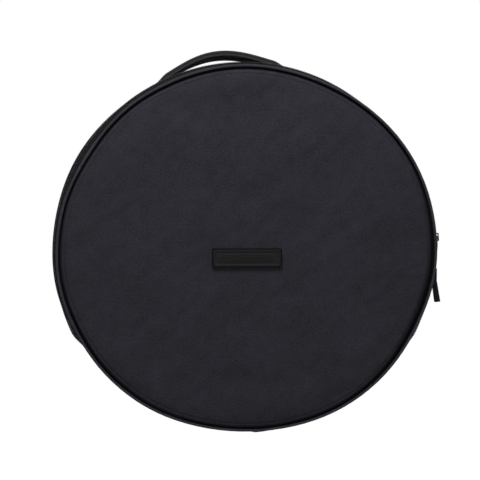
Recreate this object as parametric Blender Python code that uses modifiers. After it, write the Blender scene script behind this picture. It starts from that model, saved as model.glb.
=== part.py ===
"""A round padded bag for a snare drum, standing on its rim. Metres, +Z up, front towards -Y.

The body of the bag is a side wall with a back panel. A lid, a front panel with a narrow
boxing strip, closes it with a zip that runs over the top and down both sides. Below the
ends of the zip a strip of cloth joins lid and body, and the lid swings forwards about it.
The empty bag has sagged: its upper half is still round, its lower half is lower.
The origin is on the ground, midway along the flat that the side wall rests on.
"""

from math import atan2, ceil, cos, hypot, pi, radians, sin, sqrt

import bmesh
import bpy
from mathutils import Matrix, Vector

# Outside of the bag
RIM_RADIUS = 0.198
SAG_SHARE = 0.925
BAG_DEPTH = 0.172
WALL_BULGE = 0.006
BULGE_POWER = 4
PANEL_CROWN = 0.005
CROWN_POWER = 3

# Cloth, padding and seams
GAP = 0.0003
FABRIC = 0.0014
FOAM = 0.008
LINING = 0.0008
PIPING = 0.005
BINDING = 0.0016
BINDING_WIDTH = 0.008

# Zip: the slider travels where the zip is round, and the rest of it lies on the sagged sides
ZIP_SETBACK = 0.036
ZIP_END_ANGLE = radians(150)
TRAVEL_ANGLE = radians(115)
TRAVEL_RUN_OUT = radians(15)
ZIP_GAP = 0.0014
TAPE = 0.0008
TAPE_SHOWN = 0.006
TAPE_HIDDEN = 0.006
COIL_WIDTH = 0.0032
COIL_HEIGHT = 0.0022
STOP_LENGTH = 0.004
STOP_EXTRA_HEIGHT = 0.0008

# Zip slider, at its place near the right-hand end of its travel
SLIDER_ANGLE = radians(85.5)
SLIDER_LENGTH = 0.017
SLIDER_WIDTH = 0.0096
SLIDER_TAIL_WIDTH = 0.0074
SLIDER_PLATE = 0.0013
SLIDER_CLEARANCE = 0.0006
NECK_LENGTH = 0.005
NECK_WIDTH = 0.0008
BRIDGE_WIDTH = 0.003
BRIDGE_THICKNESS = 0.001
BRIDGE_SPAN = 0.0066
BRIDGE_ROOM = 0.0028
BRIDGE_CHAMFER = 0.0006

# Zip pull: a metal tab in the slider's bridge, with a rubber grip on its end. Past the
# slider the tab bends in towards the zip, and the grip bends out again at its knee.
PULL_LIFT = radians(-3.4)
TAB_LENGTH = 0.04
TAB_WIDTH = 0.0086
TAB_THICKNESS = 0.0012
TAB_BAR = 0.0018
TAB_EYE_CLEARANCE = 0.0004
TAB_BEND_AT = 0.0092
TAB_BEND = radians(-5.1)
GRIP_START = 0.033
GRIP_KNEE = 0.046
GRIP_END = 0.0688
GRIP_BEND = radians(12.4)
GRIP_WIDTH = 0.0105
GRIP_START_THICKNESS = 0.0027
GRIP_KNEE_THICKNESS = 0.0042
GRIP_END_THICKNESS = 0.0052
GRIP_ROUNDING = 0.0007

# Carrying handle: two plies of webbing, sewn flat to the wall at both ends
HANDLE_ANGLE = radians(-7)
HANDLE_HALF_SPAN = radians(20.5)
HANDLE_WIDTH = 0.05
HANDLE_PLY = 0.0021
HANDLE_RISE = 0.0094
HANDLE_SKEW = 0.95
HANDLE_END_LENGTH = 0.034

# Rubber patch on the front panel
PATCH_WIDTH = 0.072
PATCH_HEIGHT = 0.02
PATCH_THICKNESS = 0.0016
PATCH_ROUNDING = 0.0015
PATCH_DROP = 0.0026

# How finely round shapes are divided
RING_STEP = radians(5)
HANDLE_STEPS = 20
PIPING_RESOLUTION = 1
BEVEL_SEGMENTS = 2
CROWN_SHARES = (0, 0.3, 0.7, 1)
PADDING_SHARES = (0, 0.7, 1)
WELD = 0.00001

# Places that follow from the sizes above
PIPING_RADIUS = PIPING / 2
SEAM_RADIUS = RIM_RADIUS - PIPING_RADIUS
SEAM_Y = BAG_DEPTH / 2 - PIPING_RADIUS
CENTRE_Z = SAG_SHARE * SEAM_RADIUS + PIPING_RADIUS
WALL_END_Y = SEAM_Y - PIPING_RADIUS - GAP
PANEL_RADIUS = SEAM_RADIUS - PIPING_RADIUS - GAP
FOAM_DEPTH = FABRIC + GAP
LINING_DEPTH = FOAM_DEPTH + FOAM + GAP
BINDING_Y = SEAM_Y - LINING_DEPTH - LINING - GAP
PADDING_END_Y = BINDING_Y - BINDING - GAP
ZIP_Y = ZIP_SETBACK - BAG_DEPTH / 2
COIL_EDGE = ZIP_GAP / 2 + COIL_WIDTH
WALL_EDGE = COIL_EDGE + TAPE_SHOWN
TAPE_EDGE = WALL_EDGE + TAPE_HIDDEN

FABRIC_COLOUR = "#2E2E34"
PIPING_COLOUR = "#33333A"
WEBBING_COLOUR = "#2B2B30"
LINING_COLOUR = "#3C3C41"
BINDING_COLOUR = "#1E1E22"
FOAM_COLOUR = "#B9B9B4"
TAPE_COLOUR = "#3B3938"
COIL_COLOUR = "#4A4745"
METAL_COLOUR = "#1B1B1C"
RUBBER_COLOUR = "#26262A"
CLOTH_ROUGHNESS = 0.85
PADDING_ROUGHNESS = 0.95
COIL_ROUGHNESS = 0.45
METAL_ROUGHNESS = 0.35
RUBBER_ROUGHNESS = 0.6


def clear_scene():
    for obj in list(bpy.data.objects):
        bpy.data.objects.remove(obj)


def make_collection(name):
    collection = bpy.data.collections.new(name)
    bpy.context.scene.collection.children.link(collection)
    return collection


def linear_colour(hex_colour):
    """The linear value of an sRGB colour such as #2E2E34."""
    srgb = [int(hex_colour[at:at + 2], 16) / 255 for at in (1, 3, 5)]
    linear = [c / 12.92 if c <= 0.04045 else ((c + 0.055) / 1.055) ** 2.4 for c in srgb]
    return linear + [1]


def set_material(obj, colour, roughness, metallic=0):
    material = bpy.data.materials.new(obj.name)
    material.use_nodes = True
    shader = material.node_tree.nodes["Principled BSDF"]
    shader.inputs["Base Color"].default_value = linear_colour(colour)
    shader.inputs["Roughness"].default_value = roughness
    shader.inputs["Metallic"].default_value = metallic
    obj.data.materials.clear()
    obj.data.materials.append(material)


def add_object(name, data, collection, parent=None):
    obj = bpy.data.objects.new(name, data)
    collection.objects.link(obj)
    obj.parent = parent
    return obj


def to_mesh_object(obj, collection):
    """Replaces an object by a mesh of its evaluated shape, with loose caps welded."""
    graph = bpy.context.evaluated_depsgraph_get()
    mesh = bpy.data.meshes.new_from_object(obj.evaluated_get(graph))
    weld(mesh)
    name, parent, place = obj.name, obj.parent, obj.matrix_world.copy()
    bpy.data.objects.remove(obj)
    made = add_object(name, mesh, collection, parent)
    made.matrix_world = place
    return made


def weld(mesh):
    """Joins doubled points, closes open ends and turns every face outwards."""
    shape = bmesh.new()
    shape.from_mesh(mesh)
    bmesh.ops.remove_doubles(shape, verts=shape.verts, dist=WELD)
    rims = [edge for edge in shape.edges if edge.is_boundary]
    bmesh.ops.holes_fill(shape, edges=rims)
    bmesh.ops.recalc_face_normals(shape, faces=shape.faces)
    shape.to_mesh(mesh)
    shape.free()


def distance_from_axis(point):
    return hypot(point.x, point.z - CENTRE_Z)


def split_quads(mesh):
    """Splits each quad along the diagonal that lies further out, so that layers don't cross."""
    shape = bmesh.new()
    shape.from_mesh(mesh)
    for face in [face for face in shape.faces if len(face.verts) == 4]:
        a, b, c, d = face.verts
        first = distance_from_axis((a.co + c.co) / 2)
        second = distance_from_axis((b.co + d.co) / 2)
        ends = (a, c) if first > second else (b, d)
        bmesh.utils.face_split(face, *ends)
    shape.to_mesh(mesh)
    shape.free()


def wall_radius(y):
    """Outer radius of the upper half of the side wall, which bulges between its seams."""
    return SEAM_RADIUS + WALL_BULGE * (1 - abs(y / SEAM_Y) ** BULGE_POWER)


def inside_wall(y, depth):
    """The radius at a depth inside the outer face of the wall."""
    return wall_radius(y) - depth


def zip_radius():
    """Outer radius of the zip tape where the wall cloth would lie on it."""
    return inside_wall(ZIP_Y, FABRIC + GAP)


def zip_offset():
    """How far the zip's own circle departs from the sagged outline.

    The slider needs a track that is one true circle. The circle stands proud of the
    outline at the top and at both ends of the slider's travel, and lies inside it at the
    sides, by the same small offset. The soft tape takes up the difference.
    """
    drop = -cos(TRAVEL_ANGLE)
    end_share = sqrt(1 - (1 - SAG_SHARE**2) * drop**2)
    return zip_radius() * (1 - end_share) / (2 + 2 * drop)


def zip_centre():
    """The axis that the slider turns about, as the height of a line along Y."""
    return CENTRE_Z + 2 * zip_offset()


def outline_point(angle, radius):
    """A point of the round bag, sagged in its lower half. The angle is clockwise from the top."""
    height = radius * cos(angle)
    if height < 0:
        height *= SAG_SHARE
    return Vector((radius * sin(angle), 0, CENTRE_Z + height))


def settled_point(angle, radius, y):
    """The outline with the bulge of the wall pressed flat against the ground."""
    point = outline_point(angle, radius)
    lowest = outline_point(angle, wall_radius(y)).z
    return Vector((point.x, y, point.z + max(0, -lowest)))


def zip_point(angle, radius, y):
    """A point of the zip: on its own circle at the coils, on the outline under the wall cloth.

    Past the slider's travel the zip runs back onto the sagged outline.
    """
    settled = settled_point(angle, radius, y)
    centre = Vector((0, y, zip_centre()))
    on_circle = centre + (settled - centre).normalized() * (radius - zip_offset())
    across = (WALL_EDGE - abs(y - ZIP_Y)) / (WALL_EDGE - SLIDER_WIDTH / 2)
    along = (TRAVEL_ANGLE + TRAVEL_RUN_OUT - abs(angle)) / TRAVEL_RUN_OUT
    return settled.lerp(on_circle, min(max(across, 0), 1) * min(max(along, 0), 1))


def handle_point(angle, radius, y):
    """A point of the webbing, arched away from the wall and steeper at its left end."""
    along = (angle - HANDLE_ANGLE + HANDLE_HALF_SPAN) / (2 * HANDLE_HALF_SPAN)
    along = min(max(along, 0), 1)
    lift = HANDLE_RISE * sin(pi * along**HANDLE_SKEW) ** 2
    return Vector((0, y, 0)) + outline_point(angle, radius + lift)


def turned(name, profile, place, start=0, end=2 * pi, step=RING_STEP):
    """A profile of (radius, y) points turned about the Y axis, then moved point by point.

    A whole turn from axis to axis makes a disc, and from point to point a closed ring.
    """
    whole = end - start > 2 * pi - WELD
    mesh = bpy.data.meshes.new(name)
    points = [(radius * sin(start), y, radius * cos(start)) for radius, y in profile]
    edges = [(at, at + 1) for at in range(len(points) - 1)]
    if profile[0][0] > 0:
        edges.append((len(points) - 1, 0))
    mesh.from_pydata(points, edges, [])
    obj = add_object(name, mesh, parts)
    screw = obj.modifiers.new("Turn", "SCREW")
    screw.axis = "Y"
    screw.angle = end - start
    screw.steps = screw.render_steps = ceil((end - start) / step - WELD)
    screw.use_merge_vertices = whole
    screw.merge_threshold = WELD
    obj = to_mesh_object(obj, parts)
    for vertex in obj.data.vertices:
        x, y, z = vertex.co
        angle = atan2(x, z)
        if not whole and angle < start - WELD:
            angle += 2 * pi
        vertex.co = place(angle, hypot(x, z), y)
    weld(obj.data)
    split_quads(obj.data)
    obj.data.shade_smooth()
    obj.data.set_sharp_from_angle(angle=radians(30))
    return obj


def layer_ring(name, outer_depth, thickness, stations, start=0, end=2 * pi):
    """A ring of cloth or padding that follows the wall at a depth inside its outer face."""
    outer = [(inside_wall(y, outer_depth), y) for y in stations]
    inner = [(inside_wall(y, outer_depth + thickness), y) for y in reversed(stations)]
    return turned(name, outer + inner, settled_point, start, end)


def crowned_disc(name, side, depth, thickness, shares):
    """A disc of a front (side -1) or back (side 1) panel, at a depth inside its outer face."""

    def face(inset):
        for share in shares:
            crown = PANEL_CROWN * (1 - share**CROWN_POWER)
            yield share * PANEL_RADIUS, side * (SEAM_Y + crown - inset)

    outer = list(face(depth))
    inner = list(face(depth + thickness))
    return turned(name, outer + inner[::-1], settled_point)


def make_panel(prefix, side):
    """Outer cloth, foam and lining of the front or back panel, outermost first."""
    panel = crowned_disc(f"{prefix}_panel", side, 0, FABRIC, CROWN_SHARES)
    set_material(panel, FABRIC_COLOUR, CLOTH_ROUGHNESS)
    foam = crowned_disc(f"{prefix}_foam", side, FOAM_DEPTH, FOAM, PADDING_SHARES)
    set_material(foam, FOAM_COLOUR, PADDING_ROUGHNESS)
    lining = crowned_disc(f"{prefix}_lining", side, LINING_DEPTH, LINING, PADDING_SHARES)
    set_material(lining, LINING_COLOUR, CLOTH_ROUGHNESS)


def make_piping(prefix, side):
    """The covered cord in the seam between a panel and the wall."""
    curve = bpy.data.curves.new(f"{prefix}_piping", "CURVE")
    curve.dimensions = "3D"
    curve.bevel_depth = PIPING_RADIUS
    curve.bevel_resolution = PIPING_RESOLUTION
    count = round(2 * pi / RING_STEP)
    spline = curve.splines.new("POLY")
    spline.points.add(count - 1)
    spline.use_cyclic_u = True
    for at, point in enumerate(spline.points):
        x, _, z = outline_point(2 * pi * at / count, SEAM_RADIUS)
        point.co = (x, side * SEAM_Y, z, 1)
    piping = add_object(f"{prefix}_piping", curve, parts)
    set_material(piping, PIPING_COLOUR, CLOTH_ROUGHNESS)


def make_binding(prefix, side):
    """The tape that binds the raw edges of a seam, lying on the lining inside the bag."""
    outer = inside_wall(WALL_END_Y, FABRIC + GAP)
    inner = PANEL_RADIUS - BINDING_WIDTH
    far = side * BINDING_Y
    near = side * (BINDING_Y - BINDING)
    profile = [(outer, far), (outer, near), (inner, near), (inner, far)]
    binding = turned(f"{prefix}_seam_binding", profile, settled_point)
    set_material(binding, BINDING_COLOUR, CLOTH_ROUGHNESS)


def make_wall():
    """Side wall of the body with its foam and lining, from the zip to the back seam."""
    edge = ZIP_Y + WALL_EDGE
    stations = (edge, ZIP_Y + TAPE_EDGE, -edge, PADDING_END_Y, WALL_END_Y)
    wall = layer_ring("side_wall", 0, FABRIC, stations)
    set_material(wall, FABRIC_COLOUR, CLOTH_ROUGHNESS)
    lip_y = ZIP_Y + TAPE_EDGE + GAP
    foam_y = lip_y + LINING + GAP
    foam = layer_ring("wall_foam", FOAM_DEPTH, FOAM, (foam_y, -edge, PADDING_END_Y))
    set_material(foam, FOAM_COLOUR, PADDING_ROUGHNESS)
    make_wall_lining(lip_y, (-edge, PADDING_END_Y))


def make_wall_lining(lip_y, stations):
    """The lining turns outwards over the front edge of the foam."""
    inner_depth = LINING_DEPTH + LINING
    back = lip_y + LINING
    profile = [(inside_wall(lip_y, FOAM_DEPTH), lip_y), (inside_wall(back, FOAM_DEPTH), back)]
    profile.append((inside_wall(back, LINING_DEPTH), back))
    profile += [(inside_wall(y, LINING_DEPTH), y) for y in stations]
    profile += [(inside_wall(y, inner_depth), y) for y in reversed(stations)]
    profile.append((inside_wall(back, inner_depth), back))
    profile.append((inside_wall(lip_y, inner_depth), lip_y))
    lining = turned("wall_lining", profile, settled_point)
    set_material(lining, LINING_COLOUR, CLOTH_ROUGHNESS)


def make_lid_boxing():
    """The narrow strip of cloth between the front seam and the zip."""
    stations = (-WALL_END_Y, -PADDING_END_Y, ZIP_Y - TAPE_EDGE, ZIP_Y - WALL_EDGE)
    boxing = layer_ring("lid_boxing", 0, FABRIC, stations)
    set_material(boxing, FABRIC_COLOUR, CLOTH_ROUGHNESS)


def make_hinge_cloth(name, side):
    """Half of the strip that joins lid and body below the zip, up to the line it folds on."""
    joint_gap = GAP / 2
    spare = GAP / zip_radius()
    stations = [ZIP_Y + side * along for along in (joint_gap, WALL_EDGE, TAPE_EDGE)]
    cloth = layer_ring(
        name, FOAM_DEPTH, FABRIC, stations, ZIP_END_ANGLE + spare, 2 * pi - ZIP_END_ANGLE - spare
    )
    set_material(cloth, FABRIC_COLOUR, CLOTH_ROUGHNESS)


def coil_end_angle():
    """Where the coils stop, short of the end of the tape by the length of a zip stop."""
    return ZIP_END_ANGLE - (STOP_LENGTH + GAP) / zip_radius()


def make_zip_half(prefix, side):
    """Tape and coil row of one side of the zip."""
    places = (ZIP_GAP / 2, SLIDER_WIDTH / 2, WALL_EDGE, TAPE_EDGE)
    outer = [(inside_wall(ZIP_Y + side * at, FOAM_DEPTH), ZIP_Y + side * at) for at in places]
    outer[0] = (zip_radius(), outer[0][1])
    outer[1] = (zip_radius(), outer[1][1])
    inner = [(radius - TAPE, y) for radius, y in reversed(outer)]
    tape = turned(f"zip_tape_{prefix}", outer + inner, zip_point, -ZIP_END_ANGLE, ZIP_END_ANGLE)
    set_material(tape, TAPE_COLOUR, CLOTH_ROUGHNESS)
    base = zip_radius() + GAP
    top = base + COIL_HEIGHT
    near, far = ZIP_Y + side * ZIP_GAP / 2, ZIP_Y + side * COIL_EDGE
    profile = [(base, near), (top, near), (top, far), (base, far)]
    end = coil_end_angle()
    coil = turned(f"zip_coil_{prefix}", profile, zip_point, -end, end)
    set_material(coil, COIL_COLOUR, COIL_ROUGHNESS)


def make_zip_stops():
    """A stop clamped to the body's side of the zip at each end of the slider's travel."""
    base = zip_radius() + GAP
    top = base + COIL_HEIGHT + STOP_EXTRA_HEIGHT
    near, far = ZIP_Y + ZIP_GAP / 2, ZIP_Y + SLIDER_WIDTH / 2
    profile = [(base, near), (top, near), (top, far), (base, far)]
    length = STOP_LENGTH / zip_radius()
    for name, start in (("left", -ZIP_END_ANGLE), ("right", ZIP_END_ANGLE - length)):
        stop = turned(f"zip_stop_{name}", profile, zip_point, start, start + length)
        set_material(stop, METAL_COLOUR, METAL_ROUGHNESS, 1)


def flat_piece(name, outlines, thickness, collection):
    """Closed outlines in XY, the later ones holes, given a thickness in Z about the middle."""
    curve = bpy.data.curves.new(name, "CURVE")
    curve.dimensions = "2D"
    curve.fill_mode = "BOTH"
    curve.extrude = thickness / 2
    for outline in outlines:
        spline = curve.splines.new("POLY")
        spline.points.add(len(outline) - 1)
        spline.use_cyclic_u = True
        for point, (x, y) in zip(spline.points, outline):
            point.co = (x, y, 0, 1)
    return to_mesh_object(add_object(name, curve, collection), collection)


def mark_helper(obj):
    obj.hide_render = True
    obj.display_type = "WIRE"


def apply_boolean(obj, other, operation):
    modifier = obj.modifiers.new(operation.title(), "BOOLEAN")
    modifier.operation = operation
    modifier.object = other
    graph = bpy.context.evaluated_depsgraph_get()
    mesh = bpy.data.meshes.new_from_object(obj.evaluated_get(graph))
    obj.modifiers.remove(modifier)
    obj.data = mesh


def coil_top_radius():
    return zip_radius() - zip_offset() + GAP + COIL_HEIGHT


def bridge_outline():
    """The bridge seen along the zip: two legs and a beam, with the tab's bar between them."""
    outer_x = BRIDGE_SPAN / 2 + BRIDGE_THICKNESS
    inner_x = BRIDGE_SPAN / 2
    foot = -SLIDER_PLATE / 2
    shoulder = outer_x - BRIDGE_CHAMFER
    top = BRIDGE_ROOM + BRIDGE_THICKNESS
    low_top = top - BRIDGE_CHAMFER
    outline = [(-outer_x, foot), (-inner_x, foot), (-inner_x, BRIDGE_ROOM), (inner_x, BRIDGE_ROOM)]
    outline += [(inner_x, foot), (outer_x, foot), (outer_x, low_top), (shoulder, top)]
    return outline + [(-shoulder, top), (-outer_x, low_top)]


def slider_plate_outline():
    """Wide at the nose, where the two rows enter, and narrower at the tail."""
    half, nose, tail = SLIDER_LENGTH / 2, SLIDER_WIDTH / 2, SLIDER_TAIL_WIDTH / 2
    corner = nose - tail
    outline = [(-half, tail), (-half, -tail), (-half + tail, -nose), (half - corner, -nose)]
    return outline + [(half, -tail), (half, tail), (half - corner, nose), (-half + tail, nose)]


def make_slider(axis):
    """Two plates over and under the rows, the neck that parts them, and the bridge on top."""
    top_z = coil_top_radius() + SLIDER_CLEARANCE + SLIDER_PLATE / 2
    under_z = zip_radius() - zip_offset() - TAPE - SLIDER_CLEARANCE - SLIDER_PLATE / 2
    slider = flat_piece("zip_slider", [slider_plate_outline()], SLIDER_PLATE, parts)
    under = flat_piece("under_plate", [slider_plate_outline()], SLIDER_PLATE, helpers)
    under.location.z = under_z - top_z
    neck_x = (SLIDER_LENGTH - NECK_LENGTH) / 2 - (SLIDER_WIDTH - SLIDER_TAIL_WIDTH) / 2
    neck = add_box("neck", (NECK_LENGTH, NECK_WIDTH, top_z - under_z), helpers)
    neck.location = (neck_x, 0, (under_z - top_z) / 2)
    bridge = flat_piece("bridge", [bridge_outline()], BRIDGE_WIDTH, helpers)
    bridge.rotation_euler.x = pi / 2
    bridge.location.z = SLIDER_PLATE / 2
    for piece in (under, neck, bridge):
        mark_helper(piece)
        apply_boolean(slider, piece, "UNION")
    slider.parent = axis
    slider.location = (0, 0, top_z)
    set_material(slider, METAL_COLOUR, METAL_ROUGHNESS, 1)
    return top_z + SLIDER_PLATE / 2 + BRIDGE_ROOM / 2


def add_box(name, size, collection):
    mesh = bpy.data.meshes.new(name)
    shape = bmesh.new()
    bmesh.ops.create_cube(shape, size=1)
    bmesh.ops.scale(shape, vec=size, verts=shape.verts)
    shape.to_mesh(mesh)
    shape.free()
    return add_object(name, mesh, collection)


def tab_outlines():
    """A flat tab with an eye. The bar at its end is the pin that turns in the bridge."""
    half = TAB_WIDTH / 2
    bar = TAB_BAR / 2
    reach = hypot(BRIDGE_SPAN / 2 + BRIDGE_THICKNESS, BRIDGE_ROOM / 2 + BRIDGE_THICKNESS)
    eye_end = reach + TAB_EYE_CLEARANCE
    eye_half = BRIDGE_WIDTH / 2 + TAB_EYE_CLEARANCE
    plate = [(-bar, -half), (TAB_LENGTH - bar, -half), (TAB_LENGTH - bar, half), (-bar, half)]
    eye = [(bar, -eye_half), (bar, eye_half), (eye_end, eye_half), (eye_end, -eye_half)]
    return [plate, eye]


def bend(obj, place, angle):
    """Turns what lies beyond a place along X up by an angle, about a line across the piece."""
    shape = bmesh.new()
    shape.from_mesh(obj.data)
    everything = shape.verts[:] + shape.edges[:] + shape.faces[:]
    line = (place, 0, 0)
    bmesh.ops.bisect_plane(shape, geom=everything, plane_co=line, plane_no=(1, 0, 0), dist=WELD)
    beyond = [vertex for vertex in shape.verts if vertex.co.x > place + WELD]
    turn = Matrix.Rotation(-angle, 3, "Y")
    bmesh.ops.rotate(shape, verts=beyond, cent=line, matrix=turn)
    shape.to_mesh(obj.data)
    shape.free()


def grip_outline():
    """The grip seen from its edge, before it is bent: thin at the tab, thick at its end."""
    stations = [
        (GRIP_START, GRIP_START_THICKNESS / 2),
        (GRIP_KNEE, GRIP_KNEE_THICKNESS / 2),
        (GRIP_END, GRIP_END_THICKNESS / 2),
    ]
    return stations + [(along, -half) for along, half in reversed(stations)]


def make_grip():
    grip = flat_piece("pull_grip", [grip_outline()], GRIP_WIDTH, parts)
    grip.data.transform(Matrix.Rotation(pi / 2, 4, "X"))
    bevel = grip.modifiers.new("Rounding", "BEVEL")
    bevel.width = GRIP_ROUNDING
    bevel.segments = BEVEL_SEGMENTS
    bevel.limit_method = "ANGLE"
    grip = to_mesh_object(grip, parts)
    mouth = 2 * (TAB_LENGTH - TAB_BAR / 2 + GAP - GRIP_START)
    pocket = add_box("grip_pocket", (mouth, TAB_WIDTH + 2 * GAP, TAB_THICKNESS + 2 * GAP), helpers)
    pocket.location.x = GRIP_START
    mark_helper(pocket)
    apply_boolean(grip, pocket, "DIFFERENCE")
    return grip


def make_pull(pivot):
    tab = flat_piece("pull_tab", tab_outlines(), TAB_THICKNESS, parts)
    set_material(tab, METAL_COLOUR, METAL_ROUGHNESS, 1)
    grip = make_grip()
    set_material(grip, RUBBER_COLOUR, RUBBER_ROUGHNESS)
    bend(grip, GRIP_KNEE, GRIP_BEND)
    for piece in (tab, grip):
        bend(piece, TAB_BEND_AT, TAB_BEND)
        piece.parent = pivot


def make_zip_slider_and_pull():
    """The slider's empty lies on the axis of the zip's circle, the pull's on the tab's bar."""
    axis = add_object("zip_slider_axis", None, parts)
    axis.location = (0, ZIP_Y, zip_centre())
    axis.rotation_euler.y = SLIDER_ANGLE
    pivot_radius = make_slider(axis)
    pivot = add_object("pull_axis", None, parts, axis)
    pivot.location = (0, 0, pivot_radius)
    pivot.rotation_euler.y = -PULL_LIFT
    make_pull(pivot)


def make_handle():
    """Two plies that lift off the wall together, and the ends that are sewn down."""
    half_width = HANDLE_WIDTH / 2
    base = wall_radius(half_width) + WALL_BULGE * (half_width / SEAM_Y) ** BULGE_POWER + GAP
    left = HANDLE_ANGLE - HANDLE_HALF_SPAN
    right = HANDLE_ANGLE + HANDLE_HALF_SPAN
    step = 2 * HANDLE_HALF_SPAN / HANDLE_STEPS
    pieces = []
    for name, lift in (("handle_inner_ply", 0), ("handle_outer_ply", HANDLE_PLY + GAP)):
        bottom = base + lift
        profile = strap_profile(bottom, bottom + HANDLE_PLY, half_width)
        pieces.append(turned(name, profile, handle_point, left, right, step))
    thick = strap_profile(base, base + 2 * HANDLE_PLY + GAP, half_width)
    length = HANDLE_END_LENGTH / base
    spare = GAP / base
    for name, start in (("left", left - spare - length), ("right", right + spare)):
        pieces.append(
            turned(f"handle_end_{name}", thick, handle_point, start, start + length, step)
        )
    for piece in pieces:
        set_material(piece, WEBBING_COLOUR, CLOTH_ROUGHNESS)


def strap_profile(bottom, top, half_width):
    return [(bottom, -half_width), (top, -half_width), (top, half_width), (bottom, half_width)]


def make_patch():
    """A plain moulded patch near the middle of the front panel."""
    patch = add_box("front_patch", (PATCH_WIDTH, PATCH_THICKNESS, PATCH_HEIGHT), parts)
    bevel = patch.modifiers.new("Rounding", "BEVEL")
    bevel.width = PATCH_THICKNESS / 4
    bevel.segments = BEVEL_SEGMENTS
    face = SEAM_Y + PANEL_CROWN
    patch.location = (0, -face - GAP - PATCH_THICKNESS / 2, CENTRE_Z - PATCH_DROP)
    set_material(patch, RUBBER_COLOUR, RUBBER_ROUGHNESS)


clear_scene()
parts = make_collection("snare_drum_bag")
helpers = make_collection("helpers")
make_wall()
make_lid_boxing()
for panel_prefix, panel_side in (("front", -1), ("back", 1)):
    make_panel(panel_prefix, panel_side)
    make_piping(panel_prefix, panel_side)
    make_binding(panel_prefix, panel_side)
make_hinge_cloth("hinge_cloth_body", 1)
make_hinge_cloth("hinge_cloth_lid", -1)
make_zip_half("body", 1)
make_zip_half("lid", -1)
make_zip_stops()
make_zip_slider_and_pull()
make_handle()
make_patch()
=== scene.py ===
"""Looks of a round padded bag for a snare drum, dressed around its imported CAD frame.

Metres, +Z up, front towards -Y. Angles round the bag are clockwise from the top, as seen
from the front. Each strip of cloth is made flat or as a turned strip, as it would be cut,
and is then laid on the bag point by point. It runs as a script, laid out as an add-on.
"""

from math import atan2, ceil, copysign, cos, exp, hypot, pi, radians, sin, sqrt, tau

import bpy
from bpy.props import FloatProperty, FloatVectorProperty, IntProperty, PointerProperty
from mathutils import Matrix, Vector, noise


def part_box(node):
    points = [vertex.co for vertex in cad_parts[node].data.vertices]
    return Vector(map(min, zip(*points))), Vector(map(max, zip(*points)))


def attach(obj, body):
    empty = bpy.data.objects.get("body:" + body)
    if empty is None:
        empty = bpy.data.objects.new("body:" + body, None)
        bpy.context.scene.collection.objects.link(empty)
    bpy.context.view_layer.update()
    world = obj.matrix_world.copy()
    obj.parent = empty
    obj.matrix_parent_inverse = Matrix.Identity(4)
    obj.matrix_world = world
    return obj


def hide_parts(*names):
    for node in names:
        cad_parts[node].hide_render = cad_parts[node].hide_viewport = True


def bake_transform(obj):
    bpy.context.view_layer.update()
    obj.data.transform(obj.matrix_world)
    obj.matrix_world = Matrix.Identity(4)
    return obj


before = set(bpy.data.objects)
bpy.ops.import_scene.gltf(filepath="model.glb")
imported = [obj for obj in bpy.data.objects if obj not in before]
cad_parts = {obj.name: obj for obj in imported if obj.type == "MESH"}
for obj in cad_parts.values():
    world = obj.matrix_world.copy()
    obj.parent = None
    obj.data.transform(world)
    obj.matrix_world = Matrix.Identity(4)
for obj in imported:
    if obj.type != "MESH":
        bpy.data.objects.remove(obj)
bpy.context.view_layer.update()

bl_info = {
    "name": "Snare Drum Bag",
    "version": (1, 0, 0),
    "blender": (4, 5, 0),
    "location": "View3D > Sidebar > Drum Bag",
    "description": "Cloth, seams, zip, handle and studio for a padded round drum bag",
    "category": "Add Mesh",
}

# Places and thicknesses of the bag, the same as in the CAD source
SEAM_RADIUS = 0.1955
SAG_SHARE = 0.925
SEAM_Y = 0.0835
CENTRE_Z = 0.1833375
WALL_BULGE = 0.006
BULGE_POWER = 4
WALL_END_Y = 0.0807
PANEL_RADIUS = 0.1927
PANEL_CROWN = 0.005
CROWN_POWER = 3
GAP = 0.0003
FABRIC = 0.0014
FOAM = 0.008
LINING = 0.0008
LINING_DEPTH = FABRIC + GAP + FOAM + GAP
LINING_END_Y = 0.0705
BINDING_Y = 0.0724
BINDING = 0.0016

# The zip, also as in the CAD source: the cloth ends WALL_EDGE from its middle and its tape
# TAPE_EDGE, and the slider runs on a circle of its own
ZIP_Y = -0.05
WALL_EDGE = 0.0099
TAPE_EDGE = 0.0159
ZIP_RADIUS = 0.19903
ZIP_OFFSET = 0.00091
ZIP_CENTRE_Z = 0.185153
ZIP_END = radians(150)
TRAVEL = radians(115)
SLIDER_HALF_WIDTH = 0.0048
PULL_PIVOT = (0.203292, -0.05, 0.201153)

# The handle as in the CAD source
HANDLE_ANGLE = radians(-7)
HANDLE_HALF_SPAN = radians(20.5)
HANDLE_HALF_WIDTH = 0.025
HANDLE_PLY = 0.0021
HANDLE_SINK = 0.0038
HANDLE_SKEW = 0.95
HANDLE_BASE = 0.2018
HANDLE_END_LENGTH = 0.034

# The looks alone: a thinner cord, with the wall's cloth tucked under it, and fuller panels
CORD_RADIUS = 0.1962
WALL_TUCK_Y = 0.0828
PUFF = 0.0056
# Where a panel's cloth ends under the cord, and how wide the groove beside the cord is
PANEL_RIM = PANEL_RADIUS + 0.002
GROOVE_WIDTH = 0.0021
# The line of stitches that presses a panel in: its place from the rim, half width and depth
SEWN_AT, SEWN_WIDTH, SEWN_DEPTH = 0.0065, 0.0007, 0.0005
# At the right the front's cloth is slack and rolls in to the cord: its width and depth
SLACK_WIDTH, SLACK_DEPTH = 0.0095, 0.0078
# How far the lid's narrow strip sinks between the piping and the zip
BOXING_SINK = 0.0038
# How far inside its edge a hem is stitched
HEM_STITCHES = 0.003
# The zip keeps to the slider's circle as far as these angles and then joins the sagged wall
SLIDER_LIMIT_RIGHT = radians(117)
SLIDER_LIMIT_LEFT = radians(116)
SLIDER_RUN_OUT = radians(7)
TRAVEL_RUN_OUT = radians(15)
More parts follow.
